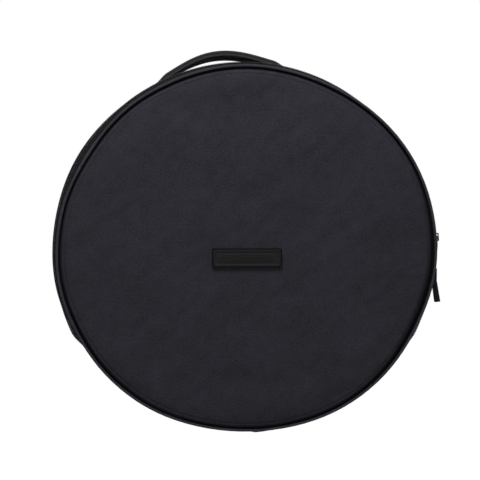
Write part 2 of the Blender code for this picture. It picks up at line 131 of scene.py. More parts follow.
# One row of the zip: half its width and height, its distance from the zip's middle and above
# the tape. Its filament is drawn thicker, by 1 / 0.62, so that the turns close up
COIL_HALF_WIDTH, COIL_HALF_HEIGHT = 0.0021, 0.0009
COIL_MIDDLE, COIL_LIFT = 0.0018, 0.001
COIL_CLOSING = 0.62
# The webbing's thickness, how far it rises between its ends, and how far its edges tilt
WEB_THICKNESS = 0.0027
HANDLE_RISE = 0.0089
HANDLE_TILT = 0.0012
# How dark the deepest painted shade in a groove is, and the share of light and dark in the
# cloth's blotches
PAINTED_SHADE_STRENGTH = 0.97
MOTTLE = 0.48
# The patch: half its width and height, with a margin that stays flat, and its height above
# the ground
PATCH_FLAT = (0.04, 0.013)
PATCH_Z = 0.1807
# The photo's camera: its place, the point it looks at and its lens in mm on a 36 mm sensor
CAMERA_PLACE = (-0.13, -2.086, 0.2583)
CAMERA_AIM = (-0.0071, -0.086, 0.1994)
CAMERA_LENS = 145.6

# The two ends of the bag and the two halves of the zip: name, side and body
SIDES = (("front", -1, "lid"), ("back", 1, "bag_body"))
ZIP_HALVES = (("body", 1, "bag_body"), ("lid", -1, "lid"))

# How the sewn front seam strays from the even outline: (angle, half width, distance)
SEAM_STRAY = [
    (radians(62), radians(24), 0.0029),
    (radians(92), radians(12), 0.0005),
    (radians(115), radians(15), -0.0022),
    (radians(153), radians(16), 0.0012),
    (radians(210), radians(16), 0.0013),
    (radians(245), radians(14), -0.0013),
    (radians(275), radians(12), -0.0005),
    (radians(303), radians(13), -0.0024),
    (radians(335), radians(12), -0.0009),
    (radians(22), radians(16), -0.001),
]
# Where the front seam lies more open, with a shallower groove and lighter painted shade: (angle,
# half width, share)
OPEN_SEAM = [
    (radians(8), radians(24), 0.5),
    (radians(206), radians(18), 0.65),
    (radians(176), radians(12), 0.3),
    (radians(301), radians(9), 0.4),
]
# Where the wall's hem stands out beyond the zip: (angle, half width, height)
HEM_RISES = [
    (radians(30), radians(16), 0.0008),
    (radians(301), radians(16), 0.0016),
]
# How the zip and the wall behind it stray, further in where the lower sides slump
ZIP_STRAY = [
    (radians(125), radians(12), -0.003),
    (radians(180), radians(28), -0.002),
    (radians(238), radians(11), -0.0038),
]
# Soft dents pressed into the front panel: (x, z, half width, half height, turn, depth)
FRONT_DENTS = [
    (0.012, 0.352, 0.03, 0.012, radians(8), 0.0011),
    (0.0, 0.332, 0.07, 0.022, 0, 0.0018),
    (0.002, 0.052, 0.034, 0.012, radians(-6), 0.0016),
    (0.093, 0.037, 0.03, 0.01, radians(28), 0.0014),
    (-0.078, 0.34, 0.035, 0.007, radians(-30), 0.0011),
    (-0.02, 0.345, 0.02, 0.006, radians(12), 0.0009),
    (0.1, 0.285, 0.05, 0.02, radians(40), 0.001),
    (-0.12, 0.13, 0.045, 0.03, radians(-50), 0.0012),
    (0.05, 0.12, 0.07, 0.03, radians(15), 0.001),
    (-0.085, 0.333, 0.013, 0.0035, radians(118), 0.0007),
    (-0.018, 0.335, 0.015, 0.0035, radians(70), 0.0007),
    (-0.062, 0.3, 0.012, 0.0035, radians(112), 0.0006),
    (-0.122, 0.29, 0.014, 0.004, radians(140), 0.0006),
    (0.108, 0.068, 0.014, 0.0035, radians(-42), 0.0008),
    (0.03, 0.045, 0.013, 0.0035, radians(-75), 0.0007),
    (-0.09, 0.07, 0.016, 0.004, radians(55), 0.0006),
]
BACK_DENTS = [
    (-0.04, 0.29, 0.05, 0.014, radians(18), 0.0014),
    (0.07, 0.23, 0.06, 0.02, radians(-35), 0.0012),
    (-0.06, 0.11, 0.06, 0.016, radians(30), 0.0015),
    (0.08, 0.07, 0.04, 0.014, radians(-22), 0.0012),
]


def length_setting(name, description, metres):
    """A length that the user can change."""
    return FloatProperty(name=name, description=description, default=metres, unit="LENGTH")


class BagSizes(bpy.types.PropertyGroup):
    """Sizes of seams, threads and folds."""

    piping: length_setting("Piping", "Radius of the covered cord", 0.0014)
    stitch_pitch: length_setting("Stitch", "Length of one stitch", 0.0028)
    thread: length_setting("Thread", "Radius of the sewing thread", 0.00032)
    coil_pitch: length_setting("Coil pitch", "Length of one turn of the zip", 0.0018)
    coil_wire: length_setting("Coil wire", "Radius of the zip's filament", 0.0006)
    groove: length_setting("Groove", "Depth of the seam beside the piping", 0.0072)
    pucker: length_setting("Pucker", "Height of the gathers along the seams", 0.0004)
    ring_steps: IntProperty(
        name="Ring steps", description="Divisions round the bag", default=288, min=72
    )


def linear(hex_colour):
    """The linear value of an sRGB colour such as #2E2E34."""
    srgb = [int(hex_colour[at:at + 2], 16) / 255 for at in (1, 3, 5)]
    return [c / 12.92 if c <= 0.04045 else ((c + 0.055) / 1.055) ** 2.4 for c in srgb]


def colour_setting(name, description, hex_colour):
    """A colour that the user can change, with its default as written in sRGB."""
    return FloatVectorProperty(
        name=name, description=description, subtype="COLOR", min=0, max=1,
        default=linear(hex_colour),
    )


class BagColours(bpy.types.PropertyGroup):
    """Colours of the cloths, the trims and the hardware."""

    shell: colour_setting("Shell", "Coated nylon of the outside", "#2E2E35")
    # Lighter than the shell's same nylon, as a painted highlight on the rounded cord
    piping: colour_setting("Piping", "Bias-cut nylon round the cord", "#35353D")
    binding: colour_setting("Binding", "Ribbed tape over the raw seams", "#19191C")
    webbing: colour_setting("Webbing", "Nylon webbing of the handle", "#202024")
    tape: colour_setting("Zip tape", "Twill tape of the zip", "#0B0B0D")
    coil: colour_setting("Zip coil", "Nylon filament of the zip", "#3A393E")
    metal: colour_setting("Metal", "Painted zinc of the slider and tab", "#0F0F10")
    rubber: colour_setting("Rubber", "Moulded patch and grip", "#0C0C0E")
    lining: colour_setting("Lining", "Thin nylon inside", "#3A3A40")
    padding: colour_setting("Padding", "Open-cell foam", "#B9B9B4")
    thread: colour_setting("Thread", "Polyester sewing thread", "#141417")
    hem_thread: colour_setting("Hem thread", "Thread along the zip", "#6A6460")


class StudioSettings(bpy.types.PropertyGroup):
    """Light and backdrop."""

    key: FloatProperty(name="Key", description="Power of the near light above", default=12)
    fill: FloatProperty(name="Fill", description="Power of the light in front", default=10)
    back: FloatProperty(name="Back", description="Power of the light behind", default=9)
    ambient: FloatProperty(
        name="Ambient", description="Strength of the light from all sides", default=0.07
    )


def smooth(share):
    """0 to 1 with level ends."""
    share = min(max(share, 0), 1)
    return share * share * (3 - 2 * share)


def stray(table, angle):
    """The sum of a table's soft bumps at an angle round the bag."""
    total = 0
    for centre, width, height in table:
        away = (angle - centre + pi) % tau - pi
        total += height * exp(-(away / width) ** 2)
    return total


def cloth_radius(angle, y):
    """Outer radius of the wall's cloth before the bag sags."""
    bulge = WALL_BULGE * (1 - abs(y / SEAM_Y) ** BULGE_POWER)
    front = smooth((ZIP_Y - y) / (SEAM_Y + ZIP_Y))
    back = smooth((y - ZIP_Y) / (SEAM_Y - ZIP_Y))
    strays = stray(SEAM_STRAY, angle) * front
    strays += stray(ZIP_STRAY, angle) * (1 - front) * (1 - back)
    return SEAM_RADIUS + bulge + strays


def outline(angle, radius, y):
    """A point of the round bag, lower below its middle where it has sagged."""
    height = radius * cos(angle)
    if height < 0:
        height *= SAG_SHARE
    return Vector((radius * sin(angle), y, CENTRE_Z + height))


def on_bag(angle, y, depth):
    """A point at a depth inside the outer cloth, pressed flat where it rests on the ground."""
    radius = cloth_radius(angle, y)
    point = outline(angle, radius - depth, y)
    point.z += max(0, -outline(angle, radius, y).z)
    return point


def boxing_valley(y):
    """How far the lid's narrow strip sinks between the piping and the zip."""
    to_seam = y + WALL_END_Y
    to_zip = ZIP_Y - SLIDER_HALF_WIDTH - y
    return BOXING_SINK * smooth(to_seam / 0.004) * smooth(to_zip / 0.005)


def on_zip(angle, y, depth):
    """A point of the zip: on the slider's circle at the coils, on the bag under the cloth.

    The depth is counted from the outer face of the zip's tape.
    """
    settled = on_bag(angle, y, depth + FABRIC + GAP + boxing_valley(y))
    turn = (angle + pi) % tau - pi
    limit = SLIDER_LIMIT_RIGHT if turn > 0 else SLIDER_LIMIT_LEFT
    on_track = smooth(1 - (abs(turn) - limit) / SLIDER_RUN_OUT)
    along = smooth((TRAVEL + TRAVEL_RUN_OUT - abs(turn)) / TRAVEL_RUN_OUT)
    centre = Vector((0, y, ZIP_CENTRE_Z))
    reach = ZIP_RADIUS - ZIP_OFFSET - depth + stray(ZIP_STRAY, angle) * (1 - on_track)
    on_circle = centre + (settled - centre).normalized() * reach
    across = smooth((WALL_EDGE - abs(y - ZIP_Y)) / (WALL_EDGE - SLIDER_HALF_WIDTH))
    return settled.lerp(on_circle, across * along)


def dent_depth(dents, x, z):
    """How deep a panel is pressed in at a place."""
    depth = 0
    for centre_x, centre_z, width, height, turn, deepest in dents:
        across, up = x - centre_x, z - centre_z
        along = across * cos(turn) + up * sin(turn)
        over = up * cos(turn) - across * sin(turn)
        depth += deepest * exp(-(along / width) ** 2 - (over / height) ** 2)
    return depth


def pillow(share):
    """How far a padded panel stands out, nearly level with a full, round edge."""
    share = min(share, 1)
    return PUFF * (1 - 0.25 * share**2 - 0.75 * share**20)


def seam_fall(side, angle, away):
    """How far a panel's cloth falls back beside the cord, at a distance from its rim."""
    groove = bpy.context.scene.bag_sizes.groove * exp(-(away / GROOVE_WIDTH) ** 2)
    sewn = SEWN_DEPTH * exp(-((away - SEWN_AT) / SEWN_WIDTH) ** 2)
    if side > 0:
        return groove + sewn
    slack = exp(-(((angle - radians(100)) / radians(36)) ** 2))
    edge = min(max(1 - away / SLACK_WIDTH, 0), 1)
    rolled = SLACK_DEPTH * slack * (1 - sqrt(1 - edge**2))
    return groove * (1 - 0.8 * slack) * (1 - 0.7 * stray(OPEN_SEAM, angle)) + rolled + sewn


def panel_relief(side, angle, x, z, away):
    """Gathers along a panel's seam, soft waves over all of it, and its dents."""
    arc = angle * SEAM_RADIUS
    gathers = sin(arc / 0.0021 + 2.3 * noise.noise(Vector((arc * 40, side, 0))))
    uneven = 0.6 + 0.8 * noise.noise(Vector((sin(angle) * 4, cos(angle) * 4, side)))
    fade = smooth(away / 0.004) * exp(-away / 0.011)
    out = bpy.context.scene.bag_sizes.pucker * gathers * uneven * fade
    broad = noise.noise(Vector((x * 16, side * 3, z * 16)))
    small = noise.noise(Vector((x * 45 + 7, side * 3, z * 38)))
    out += 0.0014 * broad * smooth(away / 0.03) + 0.00055 * small * smooth(away / 0.02)
    dents = FRONT_DENTS if side < 0 else BACK_DENTS
    return out - dent_depth(dents, x, z) * smooth(away / 0.012)


def on_panel(side, angle, radius, depth):
    """A point of the front (side -1) or back (side 1) panel, at a depth inside its cloth."""
    share = radius / PANEL_RADIUS
    strays = stray(SEAM_STRAY, angle) if side < 0 else 0
    point = outline(angle, radius + strays * share**2, 0)
    away = PANEL_RIM - radius
    out = pillow(share) - seam_fall(side, angle, away)
    out += panel_relief(side, angle, point.x, point.z, away)
    if side < 0:
        past_side = max(abs(point.x) - PATCH_FLAT[0], 0) / 0.02
        past_top = max(abs(point.z - PATCH_Z) - PATCH_FLAT[1], 0) / 0.015
        out += (PANEL_CROWN - out) * exp(-(past_side**2) - past_top**2)
    point.y = side * (SEAM_Y + out - depth)
    return point


def on_handle(angle, y, depth):
    """A point of the handle's webbing, arched away from the wall between its sewn ends.

    The depth is counted from the top of the outer ply.
    """
    along = (angle - HANDLE_ANGLE + HANDLE_HALF_SPAN) / (2 * HANDLE_HALF_SPAN)
    along = min(max(along, 0), 1)
    arch = sin(pi * along**HANDLE_SKEW) ** 2
    lift = (HANDLE_RISE - HANDLE_TILT * y / HANDLE_HALF_WIDTH) * arch
    sewn = smooth(1 - 9 * min(along, 1 - along))
    radius = HANDLE_BASE + 2 * HANDLE_PLY + GAP + lift - HANDLE_SINK * sewn - depth
    return outline(angle, radius, y)


def deselect():
    """Object mode with nothing selected."""
    if bpy.context.mode != "OBJECT":
        bpy.ops.object.mode_set(mode="OBJECT")
    bpy.ops.object.select_all(action="DESELECT")


def select_only(obj):
    """Object mode with one object selected and active."""
    deselect()
    bpy.context.view_layer.objects.active = obj
    obj.select_set(True)


def edit(obj):
    """Edit mode on one object with everything selected."""
    select_only(obj)
    bpy.ops.object.mode_set(mode="EDIT")
    bpy.ops.mesh.select_mode(type="VERT")
    bpy.ops.mesh.select_all(action="SELECT")


def object_mode():
    """Back to object mode, with what was selected kept."""
    bpy.ops.object.mode_set(mode="OBJECT")


def pick(obj, test):
    """Selects, in edit mode, the points of a mesh whose place passes a test."""
    bpy.ops.mesh.select_all(action="DESELECT")
    object_mode()
    for vertex in obj.data.vertices:
        vertex.select = test(vertex.co)
    bpy.ops.object.mode_set(mode="EDIT")


def pick_faces(obj, test):
    """Selects, in edit mode, the faces of a mesh that pass a test."""
    bpy.ops.mesh.select_mode(type="FACE")
    bpy.ops.mesh.select_all(action="DESELECT")
    object_mode()
    for face in obj.data.polygons:
        face.select = test(face)
    bpy.ops.object.mode_set(mode="EDIT")


def named(name):
    """The primitive just added, as a piece with that name and its place in its mesh."""
    obj = bpy.context.active_object
    obj.name = name
    obj.data.name = name
    bpy.ops.object.transform_apply(location=True, rotation=True, scale=True)
    return obj


def apply_modifier(obj, kind, **settings):
    """Adds a modifier with its settings and applies it."""
    select_only(obj)
    modifier = obj.modifiers.new(kind.title(), kind)
    for name, value in settings.items():
        setattr(modifier, name, value)
    bpy.ops.object.modifier_apply(modifier=modifier.name)


def round_edges(obj, width, segments, degrees):
    """Rounds the edges that turn by more than an angle."""
    apply_modifier(
        obj, "BEVEL", width=width, segments=segments, limit_method="ANGLE",
        angle_limit=radians(degrees),
    )


def repeat(obj, count, step):
    """Repeats a mesh in a row, each copy one step on."""
    apply_modifier(
        obj, "ARRAY", count=count, use_relative_offset=False, use_constant_offset=True,
        constant_offset_displace=step,
    )


def merge_points(distance=0.000001):
    """Joins, in edit mode, the points that lie together."""
    bpy.ops.mesh.select_all(action="SELECT")
    bpy.ops.mesh.remove_doubles(threshold=distance)


def spin_section(obj, place, painted_shade=None):
    """Spins the selected section into a ring round the bag's axis and lays it in place."""
    bpy.ops.mesh.spin(
        steps=bpy.context.scene.bag_sizes.ring_steps, angle=tau, center=(0, 0, 0),
        axis=(0, -1, 0), use_auto_merge=True,
    )
    merge_points()
    object_mode()
    lay(obj, place, painted_shade=painted_shade)
    edit(obj)
    bpy.ops.mesh.normals_make_consistent(inside=False)
    object_mode()
    lay_flat_map(obj)


def turned_strip(name, line, start=0, end=tau, steps=None):
    """A line of (radius, y) points spun about the bag's axis, as an open strip or a disc."""
    steps = steps or ceil(bpy.context.scene.bag_sizes.ring_steps * (end - start) / tau)
    deselect()
    bpy.ops.mesh.primitive_plane_add(size=1)
    obj = named(name)
    edit(obj)
    pick(obj, lambda place: place.x > 0)
    bpy.ops.mesh.delete(type="VERT")
    bpy.ops.mesh.select_all(action="SELECT")
    bpy.ops.mesh.subdivide(number_cuts=len(line) - 2)
    object_mode()
    ordered = sorted(obj.data.vertices, key=lambda vertex: vertex.co.y)
    for vertex, (radius, y) in zip(ordered, line):
        vertex.co = (radius * sin(start), y, radius * cos(start))
    edit(obj)
    bpy.ops.mesh.spin(
        steps=steps, angle=end - start, center=(0, 0, 0), axis=(0, -1, 0),
        use_auto_merge=end - start > tau - 0.001,
    )
    merge_points()
    object_mode()
    return obj


def turned_disc(name, radii, steps=None):
    """A disc of rings, a shallow cone until lay() puts it in place."""
    line = [(radius, 0.001 * at) for at, radius in enumerate(radii)]
    return turned_strip(name, line, steps=steps)


def turn_of(place, start=0):
    """The angle of a point round the bag's axis, from start upwards."""
    return (atan2(place.x, place.z) - start + 0.0001) % tau + start - 0.0001


def lay(obj, surface, start=0, painted_shade=None):
    """Moves each point of a turned strip to surface(angle, y, radius).

    Its last argument, a function of (angle, y, radius) from 0 to 1, marks painted shade: where
    the cloth's colour is darkened to stand for the shade in the grooves at the piping cords.
    """
    marks = obj.data.attributes.new("painted_shade", "FLOAT", "POINT") if painted_shade else None
    for vertex in obj.data.vertices:
        place = vertex.co.copy()
        radius = hypot(place.x, place.z)
        turn = turn_of(place, start)
        vertex.co = surface(turn, place.y, radius)
        if painted_shade:
            marks.data[vertex.index].value = painted_shade(turn, place.y, radius)
    obj.data.update()


def map_layer(obj):
    """The piece's map, new where it has none."""
    return obj.data.uv_layers.get("UVMap") or obj.data.uv_layers.new(name="UVMap")


def lay_flat_map(obj):
    """A map in metres for cloth that wraps round the bag: distance round it, and across."""
    layer = map_layer(obj)
    for face in obj.data.polygons:
        middle = atan2(face.center.x, face.center.z - CENTRE_Z)
        for at in face.loop_indices:
            place = obj.data.vertices[obj.data.loops[at].vertex_index].co
            angle = atan2(place.x, place.z - CENTRE_Z)
            angle = middle + (angle - middle + pi) % tau - pi
            layer.data[at].uv = (angle * SEAM_RADIUS, place.y)


def straight_map(obj, flat):
    """A map in metres where flat(place) gives each point's two distances."""
    layer = map_layer(obj)
    for loop in obj.data.loops:
        layer.data[loop.index].uv = flat(obj.data.vertices[loop.vertex_index].co)


def across_and_up(place):
    return place.x, place.z


def along_and_round(place):
    return place.x, place.y + place.z


def face_away(obj, outward):
    """Turns a strip's faces to the side that outward(place) points to."""
    facing = sum(face.normal.dot(outward(face.center)) for face in obj.data.polygons)
    if facing < 0:
        edit(obj)
        bpy.ops.mesh.flip_normals()
        object_mode()


def from_axis(place):
    """The way outwards at a place on the wall."""
    return Vector((place.x, 0, place.z - CENTRE_Z))


def thicken(obj, thickness, outward):
    """Gives an open strip its thickness, inwards from the face that shows."""
    face_away(obj, outward)
    apply_modifier(
        obj, "SOLIDIFY", thickness=thickness, offset=-1, use_even_offset=False, use_rim=True
    )


def finished(obj, material, body, slot, *nodes):
    """Gives a piece its finish, its body and the CAD nodes that it stands for."""
    obj.data.materials.clear()
    obj.data.materials.append(material)
    select_only(obj)
    bpy.ops.object.shade_smooth_by_angle(angle=radians(40))
    if body:
        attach(obj, body)
    if nodes:
        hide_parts(*nodes)
    return obj


def spread(first, last, count):
    """Evenly spaced values from first to last."""
    return [first + (last - first) * at / (count - 1) for at in range(count)]


def add(tree, kind, links=None, **settings):
    """Adds a node with its settings. links gives its inputs, each a value or a socket."""
    node = tree.nodes.new(kind)
    for name, value in settings.items():
        setattr(node, name, value)
    for key, value in (links or {}).items():
        if isinstance(value, bpy.types.NodeSocket):
            tree.links.new(value, node.inputs[key])
        else:
            node.inputs[key].default_value = value
    return node


def new_material(name, specular, sheen=0.0, **inputs):
    """A material with an empty tree but for its shader and output."""
    material = bpy.data.materials.new(name)
    material.use_nodes = True
    tree = material.node_tree
    tree.nodes.clear()
    inputs.update({"Specular IOR Level": specular, "Sheen Weight": sheen, "Sheen Roughness": 0.5})
    shader = add(tree, "ShaderNodeBsdfPrincipled", inputs)
    add(tree, "ShaderNodeOutputMaterial", {"Surface": shader.outputs[0]})
    return material, tree, shader


def calc(tree, operation, first, second=0.0, third=0.0):
    """The result of a math node."""
    links = {0: first, 1: second, 2: third}
    return add(tree, "ShaderNodeMath", links, operation=operation).outputs[0]


def weighted(tree, first, share, second, second_share):
    """The sum of two values, each times its share."""
    return calc(tree, "ADD", calc(tree, "MULTIPLY", first, share),
                calc(tree, "MULTIPLY", second, second_share))


def ridges(tree, place, pitch):
    """Height, 0 to 1, of round ridges that lie side by side."""
    turned = calc(tree, "MULTIPLY", place, pi / pitch)
    return calc(tree, "ABSOLUTE", calc(tree, "SINE", turned))


def speckle(tree, where, size, detail):
    """Noise whose spots are of a real size in metres."""
    links = {"Vector": where, "Scale": 1 / size, "Detail": detail}
    return add(tree, "ShaderNodeTexNoise", links).outputs[0]


def woven(tree, across, along, pitch_across, pitch_along):
    """Height, 0 to 1, of the threads of a plain weave, which pass over and under."""
    u = calc(tree, "DIVIDE", across, pitch_across)
    v = calc(tree, "DIVIDE", along, pitch_along)
    cell = calc(tree, "ADD", calc(tree, "FLOOR", u), calc(tree, "FLOOR", v))
    over = calc(tree, "PINGPONG", cell, 1)
    warp, weft = ridges(tree, u, 1), ridges(tree, v, 1)
    warp_top = calc(tree, "MULTIPLY", warp, calc(tree, "ADD", weft, 0.6))
    weft_top = calc(tree, "MULTIPLY", weft, calc(tree, "ADD", warp, 0.6))
    mixed = add(tree, "ShaderNodeMix", {0: over, 2: warp_top, 3: weft_top}, data_type="FLOAT")
    return calc(tree, "DIVIDE", mixed.outputs[0], 1.6)


def map_axes(tree):
    """The two directions of the piece's map, in metres, and the map itself."""
    where = add(tree, "ShaderNodeUVMap", uv_map="UVMap").outputs[0]
    parts = add(tree, "ShaderNodeSeparateXYZ", {0: where})
    return where, parts.outputs[0], parts.outputs[1]


def shaded(tree, colour, share, darkest, lightest):
    """A colour made darker and lighter by a share from 0 to 1."""
    low = [c * darkest for c in colour] + [1]
    high = [min(c * lightest, 1) for c in colour] + [1]
    ramp = add(tree, "ShaderNodeValToRGB", {0: share})
    ramp.color_ramp.elements[0].color = low
    ramp.color_ramp.elements[1].color = high
    return ramp.outputs[0]


def give_surface(tree, shader, colour, height, relief):
    """Gives a shader its colour and a relief with a real height in metres."""
    tree.links.new(colour, shader.inputs["Base Color"])
    bump = add(tree, "ShaderNodeBump", {"Height": height, "Distance": relief})
    tree.links.new(bump.outputs[0], shader.inputs["Normal"])


def cloth_material(name, colour, pitch, relief, rough):
    """Woven cloth: threads of a real spacing over soft blotches from dye and handling, with
    painted shade between the threads and, where a point attribute marks it, in the grooves at the
    piping cords.
    """
    material, tree, shader = new_material(name, 0.07, 0.02, Roughness=rough)
    where, across, along = map_axes(tree)
    threads = woven(tree, across, along, pitch, pitch)
    fine = speckle(tree, where, 0.0018, 3)
    share = calc(tree, "MULTIPLY_ADD", fine, 1.4, -0.7)
    turned = {"Vector": where, "Rotation": (0, 0, radians(40)), "Scale": (3, 1, 1)}
    brushed = add(tree, "ShaderNodeMapping", turned, vector_type="TEXTURE").outputs[0]
    for place, size, weight in ((where, 0.011, 0.45), (brushed, 0.016, 0.5), (where, 0.06, 0.4)):
        blotch = calc(tree, "MULTIPLY_ADD", speckle(tree, place, size, 2), weight, -weight / 2)
        share = calc(tree, "ADD", share, blotch)
    # Painted shade: the colour follows the height of the woven threads, darker between them
    share = calc(tree, "ADD", share, calc(tree, "MULTIPLY_ADD", threads, 0.2, 0.4))
    blotched = shaded(tree, colour, share, 1 - MOTTLE, 1 + MOTTLE)
    # Painted shade: the colour is drawn towards black where the point attribute marks a groove at
    # a cord
    painted_shade = add(tree, "ShaderNodeAttribute", attribute_name="painted_shade").outputs["Fac"]
    links = {0: calc(tree, "MULTIPLY", painted_shade, PAINTED_SHADE_STRENGTH), 6: blotched, 7: (0, 0, 0, 1)}
    folded = add(tree, "ShaderNodeMix", links, data_type="RGBA")
    height = calc(tree, "ADD", threads, calc(tree, "MULTIPLY", fine, 0.9))
    give_surface(tree, shader, folded.outputs[2], height, relief)
    return material


def ribbed_material(name, colour, pitch, relief, rough):
    """Tape or webbing woven with ribs along its length and fine picks across them, darker in
    their hollows as painted shade.
    """
    material, tree, shader = new_material(name, 0.25, 0.08, Roughness=rough)
    where, along, across = map_axes(tree)
    picks = woven(tree, along, across, 0.0011, pitch / 2)
    height = calc(tree, "ADD", ridges(tree, across, pitch), calc(tree, "MULTIPLY", picks, 0.5))
    share = weighted(tree, height, 0.4, speckle(tree, where, 0.004, 3), 0.5)
    give_surface(tree, shader, shaded(tree, colour, share, 0.6, 1.3), height, relief)
    return material


def twill_material(name, colour):
    """Zip tape: slanting twill lines over fine picks, darker in their hollows as painted shade.
    """
    material, tree, shader = new_material(name, 0.1, 0.02, Roughness=0.7)
    where, along, across = map_axes(tree)
    lines = ridges(tree, calc(tree, "ADD", along, across), 0.0012)
    picks = ridges(tree, along, 0.0008)
    height = calc(tree, "ADD", lines, calc(tree, "MULTIPLY", picks, 0.4))
    share = weighted(tree, height, 0.35, speckle(tree, where, 0.005, 3), 0.5)
    give_surface(tree, shader, shaded(tree, colour, share, 0.6, 1.35), height, 0.0002)
    return material


def plain_material(name, colour, rough, grain, relief):
    """Plastic, rubber or thread: even colour, with a fine grain in the gloss."""
    material, tree, shader = new_material(name, 0.14)
    where = add(tree, "ShaderNodeTexCoord").outputs["Object"]
    fine = speckle(tree, where, grain, 4)
    share = weighted(tree, fine, 0.5, speckle(tree, where, 0.012, 2), 0.5)
    gloss = calc(tree, "ADD", calc(tree, "MULTIPLY", share, 0.3), rough - 0.15)
    tree.links.new(gloss, shader.inputs["Roughness"])
    give_surface(tree, shader, shaded(tree, colour, share, 0.8, 1.2), fine, relief)
    return material


def worn_material(name, colour):
    """Paint on cast metal, thinner and a little paler where edges rub."""
    material, tree, shader = new_material(name, 0.22)
    where = add(tree, "ShaderNodeTexCoord").outputs["Object"]
    fine = speckle(tree, where, 0.0008, 4)
    edges = add(tree, "ShaderNodeNewGeometry").outputs["Pointiness"]
    worn = calc(tree, "MULTIPLY", calc(tree, "SUBTRACT", edges, 0.53), 6)
    spots = calc(tree, "ADD", worn, calc(tree, "MULTIPLY", fine, 0.35))
    ramp = add(tree, "ShaderNodeValToRGB", {0: spots})
    painted, rubbed = ramp.color_ramp.elements
    painted.position, rubbed.position = 0.35, 0.9
    painted.color = list(colour) + [1]
    rubbed.color = linear("#454442") + [1]
    gloss = calc(tree, "ADD", calc(tree, "MULTIPLY", fine, 0.25), 0.28)
    tree.links.new(gloss, shader.inputs["Roughness"])
    give_surface(tree, shader, ramp.outputs[0], fine, 0.00005)
    return material


def foam_material(name, colour):
    """Foam, pitted all over by open cells, darker in the pits as painted shade."""
    material, tree, shader = new_material(name, 0.1, Roughness=0.95)
    where = add(tree, "ShaderNodeTexCoord").outputs["Object"]
    cells = add(tree, "ShaderNodeTexVoronoi", {"Vector": where, "Scale": 1 / 0.0016}).outputs[0]
    give_surface(tree, shader, shaded(tree, colour, cells, 0.45, 1.0), cells, 0.0005)
    return material


def make_materials():
    """All finishes, by a short name."""
    hue = bpy.context.scene.bag_colours
    return {
        # Coated nylon in a plain weave: matt, with a fine grain and soft blotches. The real
        # threads are 0.45 mm apart, drawn 0.8 mm apart so that they show
        "shell": cloth_material("coated_nylon_plain_weave", hue.shell, 0.0008, 0.00022, 0.72),
        # The same nylon stretched over a cord: smoother, lighter than the shell as a painted
        # highlight, with a pale line along its top left between the painted shade of its sides
        "piping": cloth_material("bias_nylon_over_cord", hue.piping, 0.0008, 0.00025, 0.62),
        # Thin nylon taffeta: smooth, with a slight gloss
        "lining": cloth_material("nylon_taffeta_lining", hue.lining, 0.0009, 0.00015, 0.5),
        # Close ribs along a narrow tape: matt and nearly black
        "binding": ribbed_material("grosgrain_binding", hue.binding, 0.0012, 0.0003, 0.75),
        # Heavy webbing: broad ribs along its length, with shade between them
        "webbing": ribbed_material("ribbed_nylon_webbing", hue.webbing, 0.0016, 0.0006, 0.66),
        # Fine slanting lines, nearly black, which lets the coils stand out
        "tape": twill_material("twill_zip_tape", hue.tape),
        # Drawn nylon: small paler turns that glint in a row
        "coil": plain_material("drawn_nylon_filament", hue.coil, 0.38, 0.0009, 0.0001),
        # Black paint on zinc: satin, paler where edges have rubbed
        "metal": worn_material("painted_zinc_alloy", hue.metal),
        # Moulded soft rubber: deep black and dull, with a fine grain
        "rubber": plain_material("moulded_soft_rubber", hue.rubber, 0.62, 0.0007, 0.00012),
        # Pale grey foam, only seen where the cloth is cut away
        "padding": foam_material("open_cell_foam", hue.padding),
        # Thread: small even stitches, paler along the wall's hem and dark elsewhere
        "hem_thread": plain_material("pale_twisted_thread", hue.hem_thread, 0.6, 0.0005, 0.0001),
        "thread": plain_material("twisted_polyester_thread", hue.thread, 0.6, 0.0005, 0.0001),
    }


FINISHES = {}


def hem_height(inside):
    """How far a folded and stitched edge stands up, at a distance inside the edge."""
    fold = 0.0006 * smooth((0.0085 - inside) / 0.0012)
    pressed = 0.0004 * exp(-((inside - HEM_STITCHES) / 0.0007) ** 2)
    return fold - pressed


def wall_wrinkle(angle, y):
    """Soft unevenness of the wall's cloth, none at its seams."""
    place = Vector((sin(angle) * 3.2, cos(angle) * 3.2, y * 14))
    broad = noise.noise(place)
    place = Vector((sin(angle) * 9, cos(angle) * 9, y * 22 + 5))
    return 0.0011 * broad + 0.0004 * noise.noise(place)


def handle_dent(angle, y):
    """How far the sewn ends of the handle press the padded wall in."""
    turn = (angle - HANDLE_ANGLE + pi) % tau - pi
    past = (abs(turn) - HANDLE_HALF_SPAN) * HANDLE_BASE
    along = smooth((past + 0.006) / 0.008) * smooth((HANDLE_END_LENGTH + 0.006 - past) / 0.006)
    return (HANDLE_SINK + 0.0002) * along * smooth((HANDLE_HALF_WIDTH + 0.007 - abs(y)) / 0.007)


def wall_lift(angle, y):
    """How far the body's wall stands out: hemmed along the zip, gathered at the back seam."""
    inside = y - (ZIP_Y + WALL_EDGE)
    to_seam = WALL_END_Y - y
    fade = smooth(inside / 0.03) * smooth(to_seam / 0.02)
    arc = angle * SEAM_RADIUS
    gathers = 0.0003 * sin(arc / 0.0022) * exp(-to_seam / 0.008) * smooth(to_seam / 0.003)
    lift = hem_height(inside) + wall_wrinkle(angle, y) * fade + gathers
    lift += stray(HEM_RISES, angle) * smooth(1 - inside / 0.05)
    return lift - handle_dent(angle, y)


def wall_cloth(angle, y, _radius):
    return on_bag(angle, y, -wall_lift(angle, y))


def boxing_cloth(angle, y, _radius):
    """The lid's narrow strip: hemmed along the zip, gathered at the front seam."""
    inside = (ZIP_Y - WALL_EDGE) - y
    to_seam = y + WALL_END_Y
    arc = angle * SEAM_RADIUS
    gathers = 0.00025 * sin(arc / 0.0023) * exp(-to_seam / 0.006) * smooth(to_seam / 0.003)
    fade = smooth(inside / 0.01) * smooth(to_seam / 0.008)
    lift = hem_height(inside) + 0.4 * wall_wrinkle(angle, y) * fade + gathers
    return on_bag(angle, y, boxing_valley(y) - lift)


